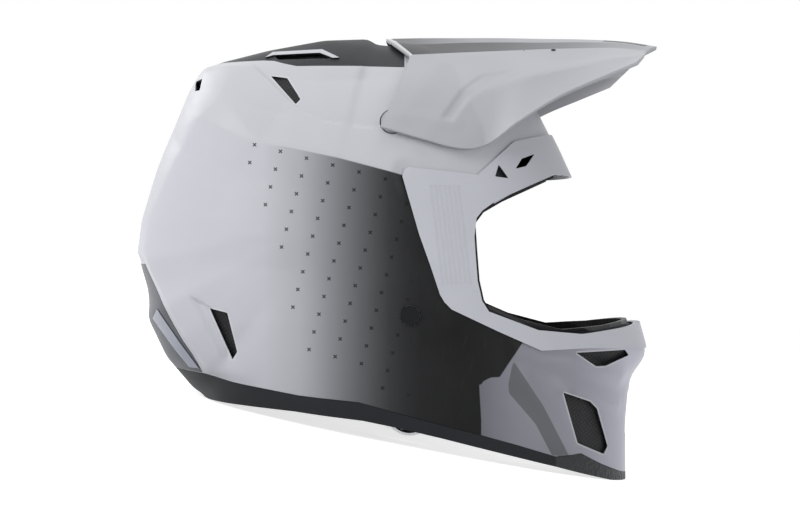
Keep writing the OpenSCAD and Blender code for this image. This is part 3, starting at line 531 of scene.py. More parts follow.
def scuffs_group():
    """Fine hairline scuffs and handling haze on lacquer."""
    tree, takes, gives = new_group("Fine scuffs", [("Vector", "Vector")],
                                   [("Haze", "Float"), ("Height", "Float")])
    stretched = put(tree, "ShaderNodeMapping", {"Vector": takes["Vector"], "Rotation": (0.3, 0.5, 0.2),
                                                "Scale": (900, 900, 40)})
    hairs = put(tree, "ShaderNodeTexNoise", {"Vector": stretched.outputs[0], "Scale": 1.0, "Detail": 2.0})
    patches = put(tree, "ShaderNodeTexNoise", {"Vector": takes["Vector"], "Scale": 35.0, "Detail": 6.0})
    flakes = put(tree, "ShaderNodeTexNoise", {"Vector": takes["Vector"], "Scale": 2600.0, "Detail": 1.0})
    haze = calc(tree, "ADD", calc(tree, "MULTIPLY", step_up(tree, hairs.outputs["Fac"], 0.6, 0.75), 0.4),
                calc(tree, "MULTIPLY", patches.outputs["Fac"], 0.6))
    tree.links.new(haze, gives["Haze"])
    tree.links.new(flakes.outputs["Fac"], gives["Height"])
    return tree


def foam_beads_group():
    """Expanded beads pressed against each other."""
    tree, takes, gives = new_group("Foam beads", [("Vector", "Vector"), ("Scale", "Float")],
                                   [("Height", "Float"), ("Tone", "Float")])
    walls = put(tree, "ShaderNodeTexVoronoi", {"Vector": takes["Vector"], "Scale": takes["Scale"]},
                feature="DISTANCE_TO_EDGE")
    cells = put(tree, "ShaderNodeTexVoronoi", {"Vector": takes["Vector"], "Scale": takes["Scale"]})
    red = put(tree, "ShaderNodeSeparateColor", {"Color": cells.outputs["Color"]})
    tree.links.new(step_up(tree, walls.outputs["Distance"], 0.0, 0.16), gives["Height"])
    tree.links.new(red.outputs[0], gives["Tone"])
    return tree


def open_mesh_group():
    """Fine moulded mesh: round holes in a slanted grid."""
    tree, takes, gives = new_group("Open mesh", [("Vector", "Vector"), ("Pitch", "Float")],
                                   [("Hole", "Float")])
    turned = put(tree, "ShaderNodeMapping",
                 {"Vector": takes["Vector"], "Rotation": (0, math.radians(45), 0)})
    parts = put(tree, "ShaderNodeSeparateXYZ", {"Vector": turned.outputs[0]})
    waves = []
    for axis in ("X", "Z"):
        cycles = calc(tree, "DIVIDE", parts.outputs[axis], takes["Pitch"])
        waves.append(calc(tree, "ABSOLUTE", calc(tree, "SINE", calc(tree, "MULTIPLY", cycles, math.pi))))
    tree.links.new(step_up(tree, calc(tree, "MULTIPLY", *waves), 0.35, 0.6), gives["Hole"])
    return tree


def weave_group():
    """Plain weave from the distances across and along a tape."""
    tree, takes, gives = new_group("Tape weave",
                                   [("Across", "Float"), ("Along", "Float"), ("Thread", "Float")],
                                   [("Height", "Float"), ("Tone", "Float")])
    u = calc(tree, "DIVIDE", takes["Across"], takes["Thread"])
    v = calc(tree, "DIVIDE", takes["Along"], takes["Thread"])
    over = calc(tree, "PINGPONG", calc(tree, "ADD", calc(tree, "FLOOR", u), calc(tree, "FLOOR", v)), 1.0)
    warp = calc(tree, "ABSOLUTE", calc(tree, "SINE", calc(tree, "MULTIPLY", u, math.pi)))
    weft = calc(tree, "ABSOLUTE", calc(tree, "SINE", calc(tree, "MULTIPLY", v, math.pi)))
    lift = calc(tree, "MULTIPLY", over, calc(tree, "MULTIPLY", warp, 0.6))
    height = calc(tree, "ADD", lift, calc(tree, "MULTIPLY", calc(tree, "MULTIPLY", warp, weft), 0.5))
    tree.links.new(height, gives["Height"])
    tree.links.new(calc(tree, "ADD", calc(tree, "MULTIPLY", over, 0.4), calc(tree, "MULTIPLY", weft, 0.6)),
                   gives["Tone"])
    return tree


def knit_group():
    """Brushed knit: rows of small loops under a soft nap."""
    tree, takes, gives = new_group("Brushed knit", [("Vector", "Vector"), ("Scale", "Float")],
                                   [("Height", "Float"), ("Tone", "Float")])
    loops = put(tree, "ShaderNodeTexVoronoi", {"Vector": takes["Vector"], "Scale": takes["Scale"],
                                               "Randomness": 0.35})
    nap = put(tree, "ShaderNodeTexNoise",
              {"Vector": takes["Vector"], "Scale": takes["Scale"], "Detail": 5.0})
    slow = put(tree, "ShaderNodeTexNoise", {"Vector": takes["Vector"], "Scale": 30.0, "Detail": 4.0})
    height = calc(tree, "ADD", calc(tree, "MULTIPLY", loops.outputs["Distance"], -0.6), nap.outputs["Fac"])
    tree.links.new(height, gives["Height"])
    tree.links.new(calc(tree, "ADD", calc(tree, "MULTIPLY", slow.outputs["Fac"], 0.6),
                        calc(tree, "MULTIPLY", nap.outputs["Fac"], 0.4)), gives["Tone"])
    return tree


def crosses_group():
    """Small crosses on a slanted lattice of the side, from the distances along X and Z in millimetres."""
    tree, takes, gives = new_group("Side crosses", [("X", "Float"), ("Z", "Float")], [("Mask", "Float")])
    first, second = (17, -4.5), (-3.25, -11.5)
    start = (-45.5, 50.5)
    area = first[0] * second[1] - first[1] * second[0]
    dx, dz = calc(tree, "SUBTRACT", takes["X"], start[0]), calc(tree, "SUBTRACT", takes["Z"], start[1])

    def weigh(a, b):
        return calc(tree, "ADD", calc(tree, "MULTIPLY", dx, a), calc(tree, "MULTIPLY", dz, b))

    offs = []
    for share in (weigh(second[1] / area, -second[0] / area), weigh(-first[1] / area, first[0] / area)):
        whole = calc(tree, "ROUND", share)
        offs.append(calc(tree, "SUBTRACT", share, whole))
    x = calc(tree, "ADD", calc(tree, "MULTIPLY", offs[0], first[0]),
             calc(tree, "MULTIPLY", offs[1], second[0]))
    z = calc(tree, "ADD", calc(tree, "MULTIPLY", offs[0], first[1]),
             calc(tree, "MULTIPLY", offs[1], second[1]))
    arms = []
    for sign in (1, -1):
        wide = calc(tree, "ABSOLUTE", calc(tree, "ADD", calc(tree, "MULTIPLY", x, sign * 0.7071),
                                           calc(tree, "MULTIPLY", z, 0.7071)))
        arms.append(calc(tree, "LESS_THAN", wide, 0.42))
    size = calc(tree, "SQRT", calc(tree, "ADD", calc(tree, "MULTIPLY", x, x), calc(tree, "MULTIPLY", z, z)))
    mask = calc(tree, "MULTIPLY", calc(tree, "MAXIMUM", *arms), calc(tree, "LESS_THAN", size, 1.5))
    tree.links.new(mask, gives["Mask"])
    return tree


GROUP_MAKERS = {
    "grain": moulded_grain_group, "scuffs": scuffs_group, "beads": foam_beads_group,
    "mesh": open_mesh_group,
    "weave": weave_group, "knit": knit_group, "crosses": crosses_group,
}
GROUPS = {}


def use_group(tree, key, inputs):
    if key not in GROUPS:
        GROUPS[key] = GROUP_MAKERS[key]()
    made = tree.nodes.new("ShaderNodeGroup")
    made.node_tree = GROUPS[key]
    for name, value in inputs.items():
        if isinstance(value, bpy.types.NodeSocket):
            tree.links.new(value, made.inputs[name])
        else:
            made.inputs[name].default_value = value
    return made.outputs


# ---------------------------------------------------------------- materials

MATERIALS = {}


def new_material(name, colour, roughness, metallic=0.0, specular=0.5, coat=0.0, coat_roughness=0.15,
                 sheen=0.0):
    material = bpy.data.materials.new(name)
    material.use_nodes = True
    tree = material.node_tree
    shader = tree.nodes["Principled BSDF"]
    for socket, value in (
        ("Base Color", (*colour[:3], 1)), ("Roughness", roughness), ("Metallic", metallic),
        ("Specular IOR Level", specular), ("Coat Weight", coat), ("Coat Roughness", coat_roughness),
        ("Sheen Weight", sheen),
    ):
        shader.inputs[socket].default_value = value
    return material, tree, shader


def object_coords(tree):
    return put(tree, "ShaderNodeTexCoord").outputs["Object"]


def worn_coords(tree):
    """Coordinates of the worn frame, in millimetres."""
    mapping = put(tree, "ShaderNodeMapping",
                  {"Vector": object_coords(tree), "Location": SHIFT, "Rotation": (0, -TILT, 0),
                   "Scale": (0.001, 0.001, 0.001)}, vector_type="TEXTURE")
    return put(tree, "ShaderNodeSeparateXYZ", {"Vector": mapping.outputs[0]}).outputs


def attribute(tree, name):
    return put(tree, "ShaderNodeAttribute", attribute_name=name).outputs["Fac"]


def bump(tree, shader, height, distance):
    made = put(tree, "ShaderNodeBump", {"Height": height, "Distance": distance, "Strength": 1.0})
    tree.links.new(made.outputs["Normal"], shader.inputs["Normal"])


def vary_roughness(tree, shader, tone, low, high):
    made = put(tree, "ShaderNodeMapRange", {"Value": tone, "From Min": 0.3, "From Max": 0.7, "To Min": low,
                                            "To Max": high})
    tree.links.new(made.outputs["Result"], shader.inputs["Roughness"])


def scaled(colour, factor):
    return tuple(min(1.0, part * factor) for part in colour[:3])


def moulded(name, colour, roughness, grain_mm=0.5, depth_mm=0.03, change=0.12, wear=0.25, specular=0.4,
            coat=0.0):
    """Moulded plastic or rubber with grain, uneven tone, and paler worn edges."""
    if name in MATERIALS:
        return MATERIALS[name]
    material, tree, shader = new_material(name, colour, roughness, specular=specular, coat=coat)
    grain = use_group(tree, "grain", {"Vector": object_coords(tree), "Scale": 1000 / grain_mm})
    tone = mix_colour(tree, grain["Tone"], scaled(colour, 1 - change), scaled(colour, 1 + change))
    worn = calc(tree, "MULTIPLY", step_up(tree, attribute(tree, "edge"), 0.45, 1.0),
                calc(tree, "MULTIPLY", grain["Tone"], wear), clamp=True)
    pale = tuple(0.55 * part + 0.25 for part in colour[:3])
    tree.links.new(mix_colour(tree, worn, tone, pale), shader.inputs["Base Color"])
    vary_roughness(tree, shader, grain["Tone"], max(0.05, roughness - 0.08), min(1, roughness + 0.08))
    bump(tree, shader, grain["Height"], depth_mm / 1000)
    MATERIALS[name] = material
    return material


def foam(name, colour, bead_mm):
    if name in MATERIALS:
        return MATERIALS[name]
    material, tree, shader = new_material(name, colour, 0.75, specular=0.25)
    beads = use_group(tree, "beads", {"Vector": object_coords(tree), "Scale": 1000 / bead_mm})
    shade = mix_colour(tree, beads["Tone"], scaled(colour, 0.8), scaled(colour, 1.25))
    seam = mix_colour(tree, beads["Height"], scaled(colour, 0.45), shade)
    tree.links.new(seam, shader.inputs["Base Color"])
    vary_roughness(tree, shader, beads["Tone"], 0.62, 0.85)
    bump(tree, shader, beads["Height"], bead_mm * 0.00006)
    MATERIALS[name] = material
    return material


def metal(name, colour, roughness, brushed):
    if name in MATERIALS:
        return MATERIALS[name]
    material, tree, shader = new_material(name, colour, roughness, metallic=1.0)
    scuffs = use_group(tree, "scuffs", {"Vector": object_coords(tree)})
    tree.links.new(mix_colour(tree, scuffs["Haze"], scaled(colour, 1.08), scaled(colour, 0.82)),
                   shader.inputs["Base Color"])
    vary_roughness(tree, shader, scuffs["Haze"], roughness, roughness + brushed)
    bump(tree, shader, scuffs["Height"], brushed * 0.00004)
    MATERIALS[name] = material
    return material


def screen_mesh(colour):
    if "Vent mesh" in MATERIALS:
        return MATERIALS["Vent mesh"]
    material, tree, shader = new_material("Vent mesh", colour, 0.6, specular=0.3)
    hole = use_group(tree, "mesh", {"Vector": object_coords(tree), "Pitch": 0.0021})["Hole"]
    tree.links.new(mix_colour(tree, hole, scaled(colour, 2.2), scaled(colour, 0.25)),
                   shader.inputs["Base Color"])
    bump(tree, shader, calc(tree, "SUBTRACT", 1.0, hole), 0.0006)
    MATERIALS["Vent mesh"] = material
    return material


def tape(name, colour, thread_mm):
    """Woven tape, from the piece's own map of millimetres across and along it."""
    if name in MATERIALS:
        return MATERIALS[name]
    material, tree, shader = new_material(name, colour, 0.85, specular=0.2, sheen=0.15)
    spots = put(tree, "ShaderNodeUVMap", uv_map="tape")
    parts = put(tree, "ShaderNodeSeparateXYZ", {"Vector": spots.outputs[0]})
    weave = use_group(tree, "weave", {"Across": parts.outputs["X"], "Along": parts.outputs["Y"],
                                      "Thread": thread_mm})
    stitch_line = calc(tree, "LESS_THAN",
                       calc(tree, "ABSOLUTE",
                            calc(tree, "SUBTRACT", calc(tree, "ABSOLUTE", parts.outputs["X"]), 9.4)),
                       0.4)
    dash = calc(tree, "LESS_THAN", calc(tree, "PINGPONG", parts.outputs["Y"], 1.6), 1.1)
    stitch = calc(tree, "MULTIPLY", stitch_line, dash)
    woven = mix_colour(tree, weave["Tone"], scaled(colour, 0.6), scaled(colour, 1.5))
    tree.links.new(mix_colour(tree, stitch, woven, scaled(colour, 4)), shader.inputs["Base Color"])
    height = calc(tree, "ADD", weave["Height"], calc(tree, "MULTIPLY", stitch, 0.8))
    bump(tree, shader, height, thread_mm * 0.00035)
    MATERIALS[name] = material
    return material


def pad_fabric(colour):
    """Brushed knit with a paler stitch along the seams, and painted shade darkening the fabric along the
    seam grooves.
    """
    if "Comfort fabric" in MATERIALS:
        return MATERIALS["Comfort fabric"]
    material, tree, shader = new_material("Comfort fabric", colour, 0.9, specular=0.2, sheen=0.3)
    coords = object_coords(tree)
    knit = use_group(tree, "knit", {"Vector": coords, "Scale": 900.0})
    seam = attribute(tree, "seam")
    worn = worn_coords(tree)
    run = calc(tree, "ADD", calc(tree, "ADD", worn["X"], worn["Y"]), worn["Z"])
    dash = calc(tree, "LESS_THAN", calc(tree, "PINGPONG", run, 2.0), 1.2)
    thread = calc(tree, "MULTIPLY", step_up(tree, seam, 0.8, 0.95), dash)
    cloth = mix_colour(tree, knit["Tone"], scaled(colour, 0.7), scaled(colour, 1.5))
    # Painted shade: the fabric darkens along the sewn seam grooves.
    dark = mix_colour(tree, step_up(tree, seam, 0.2, 0.9), cloth, scaled(colour, 0.5))
    tree.links.new(mix_colour(tree, thread, dark, scaled(colour, 5)), shader.inputs["Base Color"])
    bump(tree, shader, calc(tree, "ADD", knit["Height"], thread), 0.00035)
    MATERIALS["Comfort fabric"] = material
    return material


def shell_lacquer(colours):
    """White lacquer that fades to a near-black side panel and a grey chin bar, with small crosses; the chin
    bar's lightening towards the front is partly painted light, and pale rims round the vent edges are
    painted highlights.
    """
    white = tuple(colours.shell_white)
    material, tree, shader = new_material("Shell lacquer", white, 0.42, specular=0.08, coat=0.03,
                                          coat_roughness=0.2)
    worn = worn_coords(tree)
    side = greys(tree, worn["X"], -60, 90, [
        (-60, colours.shell_white[1]), (-40, 0.56), (-16, 0.44), (3, 0.27), (13, 0.19), (23, 0.125),
        (33, 0.075),
        (42, 0.04), (52, 0.022), (62, 0.013), (85, 0.008),
    ])
    # Grey paint of the chin bar, lighter towards the front: partly real paint, partly painted light.
    chin = greys(tree, worn["X"], 100, 210, [
        (100, 0.17), (112, 0.22), (128, 0.27), (145, 0.30), (165, 0.34), (185, 0.44), (205, 0.56),
    ], blue=1.16)
    below = step_up(tree, attribute(tree, "below_crease"), -0.5, 0.5)
    past = step_up(tree, attribute(tree, "past_chin_line"), -0.4, 0.4)
    band = step_up(tree, attribute(tree, "chin_band"), -0.4, 0.4)
    chin = mix_colour(tree, calc(tree, "MULTIPLY", band, 0.7), chin, (0.09, 0.092, 0.095))
    painted = mix_colour(tree, below, white, side)
    painted = mix_colour(tree, past, painted, chin)
    crosses = use_group(tree, "crosses", {"X": worn["X"], "Z": worn["Z"]})["Mask"]
    allowed = step_up(tree, attribute(tree, "cross_area"), -0.1, 0.1)
    mark = (0.006, 0.006, 0.007)
    painted = mix_colour(tree, calc(tree, "MULTIPLY", calc(tree, "MULTIPLY", crosses, allowed), 0.85),
                         painted, mark)
    scuffs = use_group(tree, "scuffs", {"Vector": object_coords(tree)})
    # Painted highlight: a pale rim just outside the chin and side vent edges stands in for light catching
    # their bevels.
    beside_vent = attribute(tree, "vent_rim_highlight")
    rim = calc(tree, "MULTIPLY", step_up(tree, beside_vent, -1.1, -0.8),
               step_up(tree, beside_vent, -0.02, -0.1))
    painted = mix_colour(tree, calc(tree, "MULTIPLY", rim, 0.55), painted, (0.7, 0.705, 0.72))
    tree.links.new(mix_colour(tree, calc(tree, "MULTIPLY", scuffs["Haze"], 0.05), painted,
                              (0.3, 0.3, 0.31)),
                   shader.inputs["Base Color"])
    vary_roughness(tree, shader, scuffs["Haze"], 0.32, 0.5)
    bump(tree, shader, scuffs["Height"], 0.000004)
    return material


def peak_paint(colours):
    """Pale peak with a dark strip along its top and a charcoal end, from its own map along and across; a
    pale lip at its rear edge is a painted highlight, and its underside is darkened as painted shade.
    """
    material, tree, shader = new_material("Peak plastic", colours.peak_grey, 0.42, specular=0.25)
    spots = put(tree, "ShaderNodeUVMap", uv_map="peak")
    parts = put(tree, "ShaderNodeSeparateXYZ", {"Vector": spots.outputs[0]})
    along = parts.outputs["Y"]
    across = calc(tree, "ABSOLUTE", parts.outputs["X"])
    pale = tuple(colours.peak_grey)
    crest = greys(tree, along, 0, 1, [(0, 0.09), (0.1, 0.12), (0.35, 0.30), (0.6, 0.40), (1.0, 0.44)])
    strip = greys(tree, along, 0, 1, [(0, 0.04), (0.15, 0.05), (0.4, 0.10), (0.65, 0.20), (0.85, 0.33),
                                      (1.0, 0.42)])
    painted = mix_colour(tree, step_up(tree, across, 1.98, 1.94), pale, strip)
    painted = mix_colour(tree, step_up(tree, across, 1.03, 0.99), painted, crest)
    wedge = calc(tree, "MULTIPLY", calc(tree, "LESS_THAN", across, calc(tree, "MULTIPLY", along, 0.85)),
                 calc(tree, "MULTIPLY", calc(tree, "GREATER_THAN", along, 0.79),
                      calc(tree, "LESS_THAN", along, 0.965)))
    painted = mix_colour(tree, calc(tree, "MULTIPLY", wedge, 0.9), painted, (0.045, 0.046, 0.05))
    # Painted highlight: a pale lip on the rear edge of the top strip stands in for the lit rear edge.
    rear_edge_highlight = calc(tree, "MULTIPLY", calc(tree, "LESS_THAN", along, 0.022),
               calc(tree, "LESS_THAN", across, 2.0))
    painted = mix_colour(tree, rear_edge_highlight, painted, (0.72, 0.725, 0.74))
    # Painted shade: the underside and inner face of the peak are darkened.
    inner = attribute(tree, "inner_face")
    painted = mix_colour(tree, step_up(tree, inner, 0.5, 0.6), painted, scaled(pale, 0.75))
    grain = use_group(tree, "grain", {"Vector": object_coords(tree), "Scale": 2200.0})
    painted = mix_colour(tree, calc(tree, "MULTIPLY", grain["Tone"], 0.12), painted, scaled(pale, 0.6))
    worn_edge = calc(tree, "MULTIPLY", step_up(tree, attribute(tree, "edge"), 0.6, 1.0), 0.25)
    painted = mix_colour(tree, worn_edge, painted, (0.5, 0.505, 0.52))
    tree.links.new(painted, shader.inputs["Base Color"])
    vary_roughness(tree, shader, grain["Tone"], 0.36, 0.5)
    bump(tree, shader, grain["Height"], 0.000012)
    return material


def frame_paint(colours):
    """Pale satin frame with plain ribs beside the eye port."""
    pale = tuple(colours.frame_grey)
    material, tree, shader = new_material("Frame plastic", pale, 0.45, specular=0.25)
    worn = worn_coords(tree)
    grain = use_group(tree, "grain", {"Vector": object_coords(tree), "Scale": 2400.0})
    x, z = worn["X"], worn["Z"]
    slant = calc(tree, "ADD", x, calc(tree, "MULTIPLY", z, 0.12))
    ribs = calc(tree, "LESS_THAN", calc(tree, "PINGPONG", slant, 1.5), 0.75)
    window = calc(tree, "MULTIPLY", calc(tree, "GREATER_THAN", slant, 70.0),
                  calc(tree, "LESS_THAN", slant, 92.0))
    window = calc(tree, "MULTIPLY", window, calc(tree, "MULTIPLY", calc(tree, "LESS_THAN", z, 24.0),
                                                 calc(tree, "GREATER_THAN", z, -40.0)))
    pattern = calc(tree, "MULTIPLY", ribs, window)
    tone = mix_colour(tree, grain["Tone"], scaled(pale, 0.94), scaled(pale, 1.06))
    tree.links.new(mix_colour(tree, calc(tree, "MULTIPLY", pattern, 0.12), tone, scaled(pale, 0.7)),
                   shader.inputs["Base Color"])
    vary_roughness(tree, shader, grain["Tone"], 0.38, 0.52)
    height = calc(tree, "ADD", calc(tree, "MULTIPLY", pattern, 1.0),
                  calc(tree, "MULTIPLY", grain["Height"], 0.03))
    bump(tree, shader, height, 0.00035)
    return material


def mark_edges(obj, angle=32):
    """Stores 1 on the corners of crisp edges, for wear."""
    bm = bmesh.new()
    bm.from_mesh(obj.data)
    layer = bm.verts.layers.float.new("edge")
    limit = math.radians(angle)
    for edge in bm.edges:
        if len(edge.link_faces) == 2 and edge.calc_face_angle(0) > limit:
            for vert in edge.verts:
                vert[layer] = 1
    bm.to_mesh(obj.data)
    bm.free()


def store(obj, name, values):
    made = obj.data.attributes.new(name, "FLOAT", "POINT")
    made.data.foreach_set("value", np.asarray(values, dtype=np.float32))


def vertex_places(obj):
    made = np.empty(len(obj.data.vertices) * 3)
    obj.data.vertices.foreach_get("co", made)
    return made.reshape(-1, 3)


def dress(node, material):
    """Gives a CAD node its material."""
    obj = frame["nodes"][node]
    obj.data.materials.clear()
    obj.data.materials.append(material)


# ---------------------------------------------------------------- peak

PEAK_CENTRE = [(39, 130.5), (62, 131), (90, 131), (118, 131), (146, 130.5), (176, 130), (205, 128.5),
               (229, 125)]
PEAK_STRIP_IN = [(45, 123), (64, 123.5), (90, 124.5), (118, 125), (146, 125), (174, 125.5), (200, 125),
                 (223, 122.5)]
PEAK_STRIP_OUT = [(56, 113), (68, 114), (90, 115.5), (118, 117), (146, 118.5), (172, 119.5), (197, 120),
                  (218, 119)]
PEAK_FLANK = [(49, 90), (66, 88), (88, 87), (112, 90), (136, 98), (164, 104), (190, 109.5), (211, 112)]
PEAK_EDGE = [(36, 62), (62, 54.5), (88, 48), (106, 51), (126, 66), (153, 83), (182, 96), (204, 105.5)]
PEAK_HALF_WIDTHS = [
    [0] * 8, [34, 34, 33, 31, 29, 27, 24, 16], [66, 62, 57, 53, 49, 45, 41, 32],
    [0, 0, 0, 87, 88, 86, 82, 76], [0, 0, 0, 100, 100, 100, 100, 100],
]
PEAK_SCOOP = [(74, 67.5), (83.4, 65), (95.7, 82), (124.8, 101), (133, 105), (103, 100), (90, 90.5)]


def flowing(values, t):
    """Smooth curve through rows of values, at parameters t counted in rows."""
    values = np.asarray(values, dtype=float)
    ends = np.concatenate([[2 * values[0] - values[1]], values, [2 * values[-1] - values[-2]]])
    i = np.clip(np.floor(t).astype(int), 0, len(values) - 2)
    f = (t - i)[..., None]
    a, b, c, d = ends[i], ends[i + 1], ends[i + 2], ends[i + 3]
    return (b + (c - a) * f / 2 + (2 * a - 5 * b + 4 * c - d) * f * f / 2
            + (3 * b - a - 3 * c + d) * f ** 3 / 2)


def peak_points(across, along):
    """Upper surface of the peak: across from -4 to 4, along from 0 at the back to 1 at the tip."""
    lines = []
    for line, widths in zip((PEAK_CENTRE, PEAK_STRIP_IN, PEAK_STRIP_OUT, PEAK_FLANK, PEAK_EDGE),
                            PEAK_HALF_WIDTHS):
        x, z = np.array(line, dtype=float).T
        y = np.maximum(np.array(widths, dtype=float), skin_y(x, z, -PEAK_STAND_OFF))
        if line is PEAK_CENTRE:
            y = y * 0
        lines.append(flowing(np.stack([x, y, z], axis=1), along * 7))
    lines = np.array(lines)
    made = np.zeros((len(across), 3))
    offsets = np.linspace(-0.07, 0.07, 5)
    for offset in offsets:
        place = np.clip(across + offset, -4, 4)
        size = np.abs(place)
        i = np.clip(np.floor(size).astype(int), 0, 3)
        f = (size - i)[:, None]
        row = np.arange(len(across))
        point = lines[i, row] * (1 - f) + lines[i + 1, row] * f
        point[:, 1] *= np.sign(place)
        made += point / len(offsets)
    clear = skin_y(made[:, 0], made[:, 2], -PEAK_STAND_OFF)
    clear = np.where(np.abs(across) > 0.6, clear, 0)
    made[:, 1] = np.sign(across) * np.maximum(np.abs(made[:, 1]), clear)
    return made


def scooped(points):
    """Shallow scoop in each flank of the peak, and a crease above its rear corner."""
    x, z = points[:, 0], points[:, 2]
    depth = 1.6 * smooth(0, 3, inside(x, z, PEAK_SCOOP))
    depth -= 0.8 * np.clip(1 - np.abs(from_line(x, z, [(45, 71), (85, 65)])) / 7, 0, 1)
    side = np.clip((np.abs(points[:, 1]) - 60) / 20, 0, 1)
    made = points.copy()
    made[:, 1] -= np.sign(points[:, 1]) * depth * side
    return made


# ---------------------------------------------------------------- soft pieces

def copied_node(node, name):
    """Own copy of a CAD node's mesh, joined up and in the worn frame."""
    mesh = frame["nodes"][node].data.copy()
    mesh.name = name
    mesh.transform(PLACE.inverted())
    bm = bmesh.new()
    bm.from_mesh(mesh)
    bmesh.ops.remove_doubles(bm, verts=bm.verts, dist=0.02)
    bmesh.ops.recalc_face_normals(bm, faces=bm.faces)
    bm.to_mesh(mesh)
    bm.free()
    obj = bpy.data.objects.new(name, mesh)
    bpy.context.scene.collection.objects.link(obj)
    return obj


def near_seams(points, seams):
    """Least distance of each point to the seams, each of which gives a distance for every point."""
    return np.min([np.abs(seam(points)) for seam in seams], axis=0)


def swell(obj, pinned, cap, frames=20):
    """Blows up a closed piece as cloth with its seams held, each point moving by no more than cap metres."""
    group = obj.vertex_groups.new(name="seams")
    for index in np.nonzero(pinned)[0]:
        group.add([int(index)], 1.0, "REPLACE")
    start = vertex_places(obj)
    cloth = obj.modifiers.new("swell", "CLOTH")
    settings = cloth.settings
    settings.quality = 5
    settings.mass = 0.3
    settings.tension_stiffness = 15
    settings.compression_stiffness = 15
    settings.shear_stiffness = 5
    settings.bending_stiffness = 0.5
    settings.use_pressure = True
    settings.uniform_pressure_force = 4
    settings.vertex_group_mass = "seams"
    settings.pin_stiffness = 1
    settings.effector_weights.gravity = 0
    cloth.collision_settings.use_self_collision = False
    cloth.collision_settings.use_collision = False
    cloth.point_cache.frame_start = 1
    cloth.point_cache.frame_end = frames
    scene = bpy.context.scene
    for number in range(1, frames + 1):
        scene.frame_set(number)
    apply_modifiers(obj)
    scene.frame_set(1)
    moved = vertex_places(obj) - start
    length = np.linalg.norm(moved, axis=1)
    share = np.minimum(1, cap / np.maximum(length, 1e-9))
    obj.data.vertices.foreach_set("co", (start + moved * share[:, None]).ravel())
    obj.data.update()


def pad(node, name, body, seams, seam_width, voxel, taken_in, cap, groove):
    """Sewn pad in the place of a soft CAD solid, with grooves along its seams. Sizes are in millimetres."""
    obj = copied_node(node, name)
    remesh = obj.modifiers.new("even", "REMESH")
    remesh.mode = "VOXEL"
    remesh.voxel_size = voxel
    apply_modifiers(obj)
    bm = bmesh.new()
    bm.from_mesh(obj.data)
    bmesh.ops.smooth_vert(bm, verts=bm.verts, factor=0.5, use_axis_x=True, use_axis_y=True, use_axis_z=True)
    bm.normal_update()
    points = points_of(bm)
    distance = near_seams(points, seams)
    held = distance < seam_width
    for vert, at_seam in zip(bm.verts, held):
        vert.co = vert.co - vert.normal * (taken_in + (groove * 0.5 if at_seam else 0))
    bm.to_mesh(obj.data)
    bm.free()
    obj.data.transform(PLACE)
    swell(obj, held, cap / 1000)
    divide = obj.modifiers.new("finer", "SUBSURF")
    divide.levels = divide.render_levels = 1
    apply_modifiers(obj)
    bm = bmesh.new()
    bm.from_mesh(obj.data)
    bm.normal_update()
    back = PLACE.inverted()
    points = np.array([back @ v.co for v in bm.verts])
    distance = near_seams(points, seams)
    depth = groove * np.exp(-(distance / (seam_width * 0.7)) ** 2)
    for vert, drop in zip(bm.verts, depth):
        vert.co = vert.co - vert.normal * float(drop) * 0.001
    bm.to_mesh(obj.data)
    bm.free()
    finish_piece(obj, name, node, body, MATERIALS["Comfort fabric"], sharp=0, place=None)
    back = np.array([PLACE.inverted() @ v.co for v in obj.data.vertices])
    store(obj, "seam", np.exp(-(near_seams(back, seams) / 0.8) ** 2))
    return obj


STRAP_DOWN = [(-80, 0), (-106, 0), (-112.5, -2), (-116.5, -6), (-119, -12), (-120, -20)]
SHORT_END = [(80, -120.5), (72, -120.5)]
LONG_END = [(80, -121.5), (70, -123.5), (60, -127.5), (50, -132), (40, -135.5), (30, -137.5), (20, -138.5),
            (8, -138.8)]


def ribbon(name, route, side, width, thickness):
    """Flat tape along a route of (y, z), with a map of millimetres across and along it."""
    route = np.array(route, dtype=float)
    for _ in range(2):
        a, b = route[:-1], route[1:]
        cut = np.stack([a * 0.75 + b * 0.25, a * 0.25 + b * 0.75], axis=1).reshape(-1, 2)
        route = np.concatenate([route[:1], cut[1:-1], route[-1:]])
    length = np.concatenate([[0], np.cumsum(np.linalg.norm(np.diff(route, axis=0), axis=1))])
    bm = bmesh.new()
    rows, columns = 90, 12
    bmesh.ops.create_grid(bm, x_segments=columns, y_segments=rows, size=1)
    flat = points_of(bm)
    along = (flat[:, 1] + 1) / 2 * length[-1]
    y, z = np.interp(along, length, route[:, 0]), np.interp(along, length, route[:, 1])
    across = flat[:, 0] * width / 2
    move_points(bm, np.stack([ANCHOR[0] + across, side * y, z], axis=1))
    bm.verts.index_update()
    layer = bm.loops.layers.uv.new("tape")
    for face in bm.faces:
        for loop in face.loops:
            loop[layer].uv = (across[loop.vert.index], along[loop.vert.index])
    obj = plain_object(bm, name)
    wall = obj.modifiers.new("thickness", "SOLIDIFY")
    wall.thickness = thickness - 0.2
    wall.offset = 0
    return apply_modifiers(obj)


def tape_copy(node, name, body, material):
    """Sewn tape made from a small CAD solid, with its map taken from the side."""
    obj = copied_node(node, name)
    bm = bmesh.new()
    bm.from_mesh(obj.data)
    bmesh.ops.subdivide_edges(bm, edges=[e for e in bm.edges if e.calc_length() > 3], cuts=2)
    layer = bm.loops.layers.uv.new("tape")
    for face in bm.faces:
        for loop in face.loops:
            point = loop.vert.co
            loop[layer].uv = (point.x - ANCHOR[0], point.y * 0.7 + point.z)
    bm.to_mesh(obj.data)
    bm.free()
    return finish_piece(obj, name, node, body, material)


# ---------------------------------------------------------------- settings

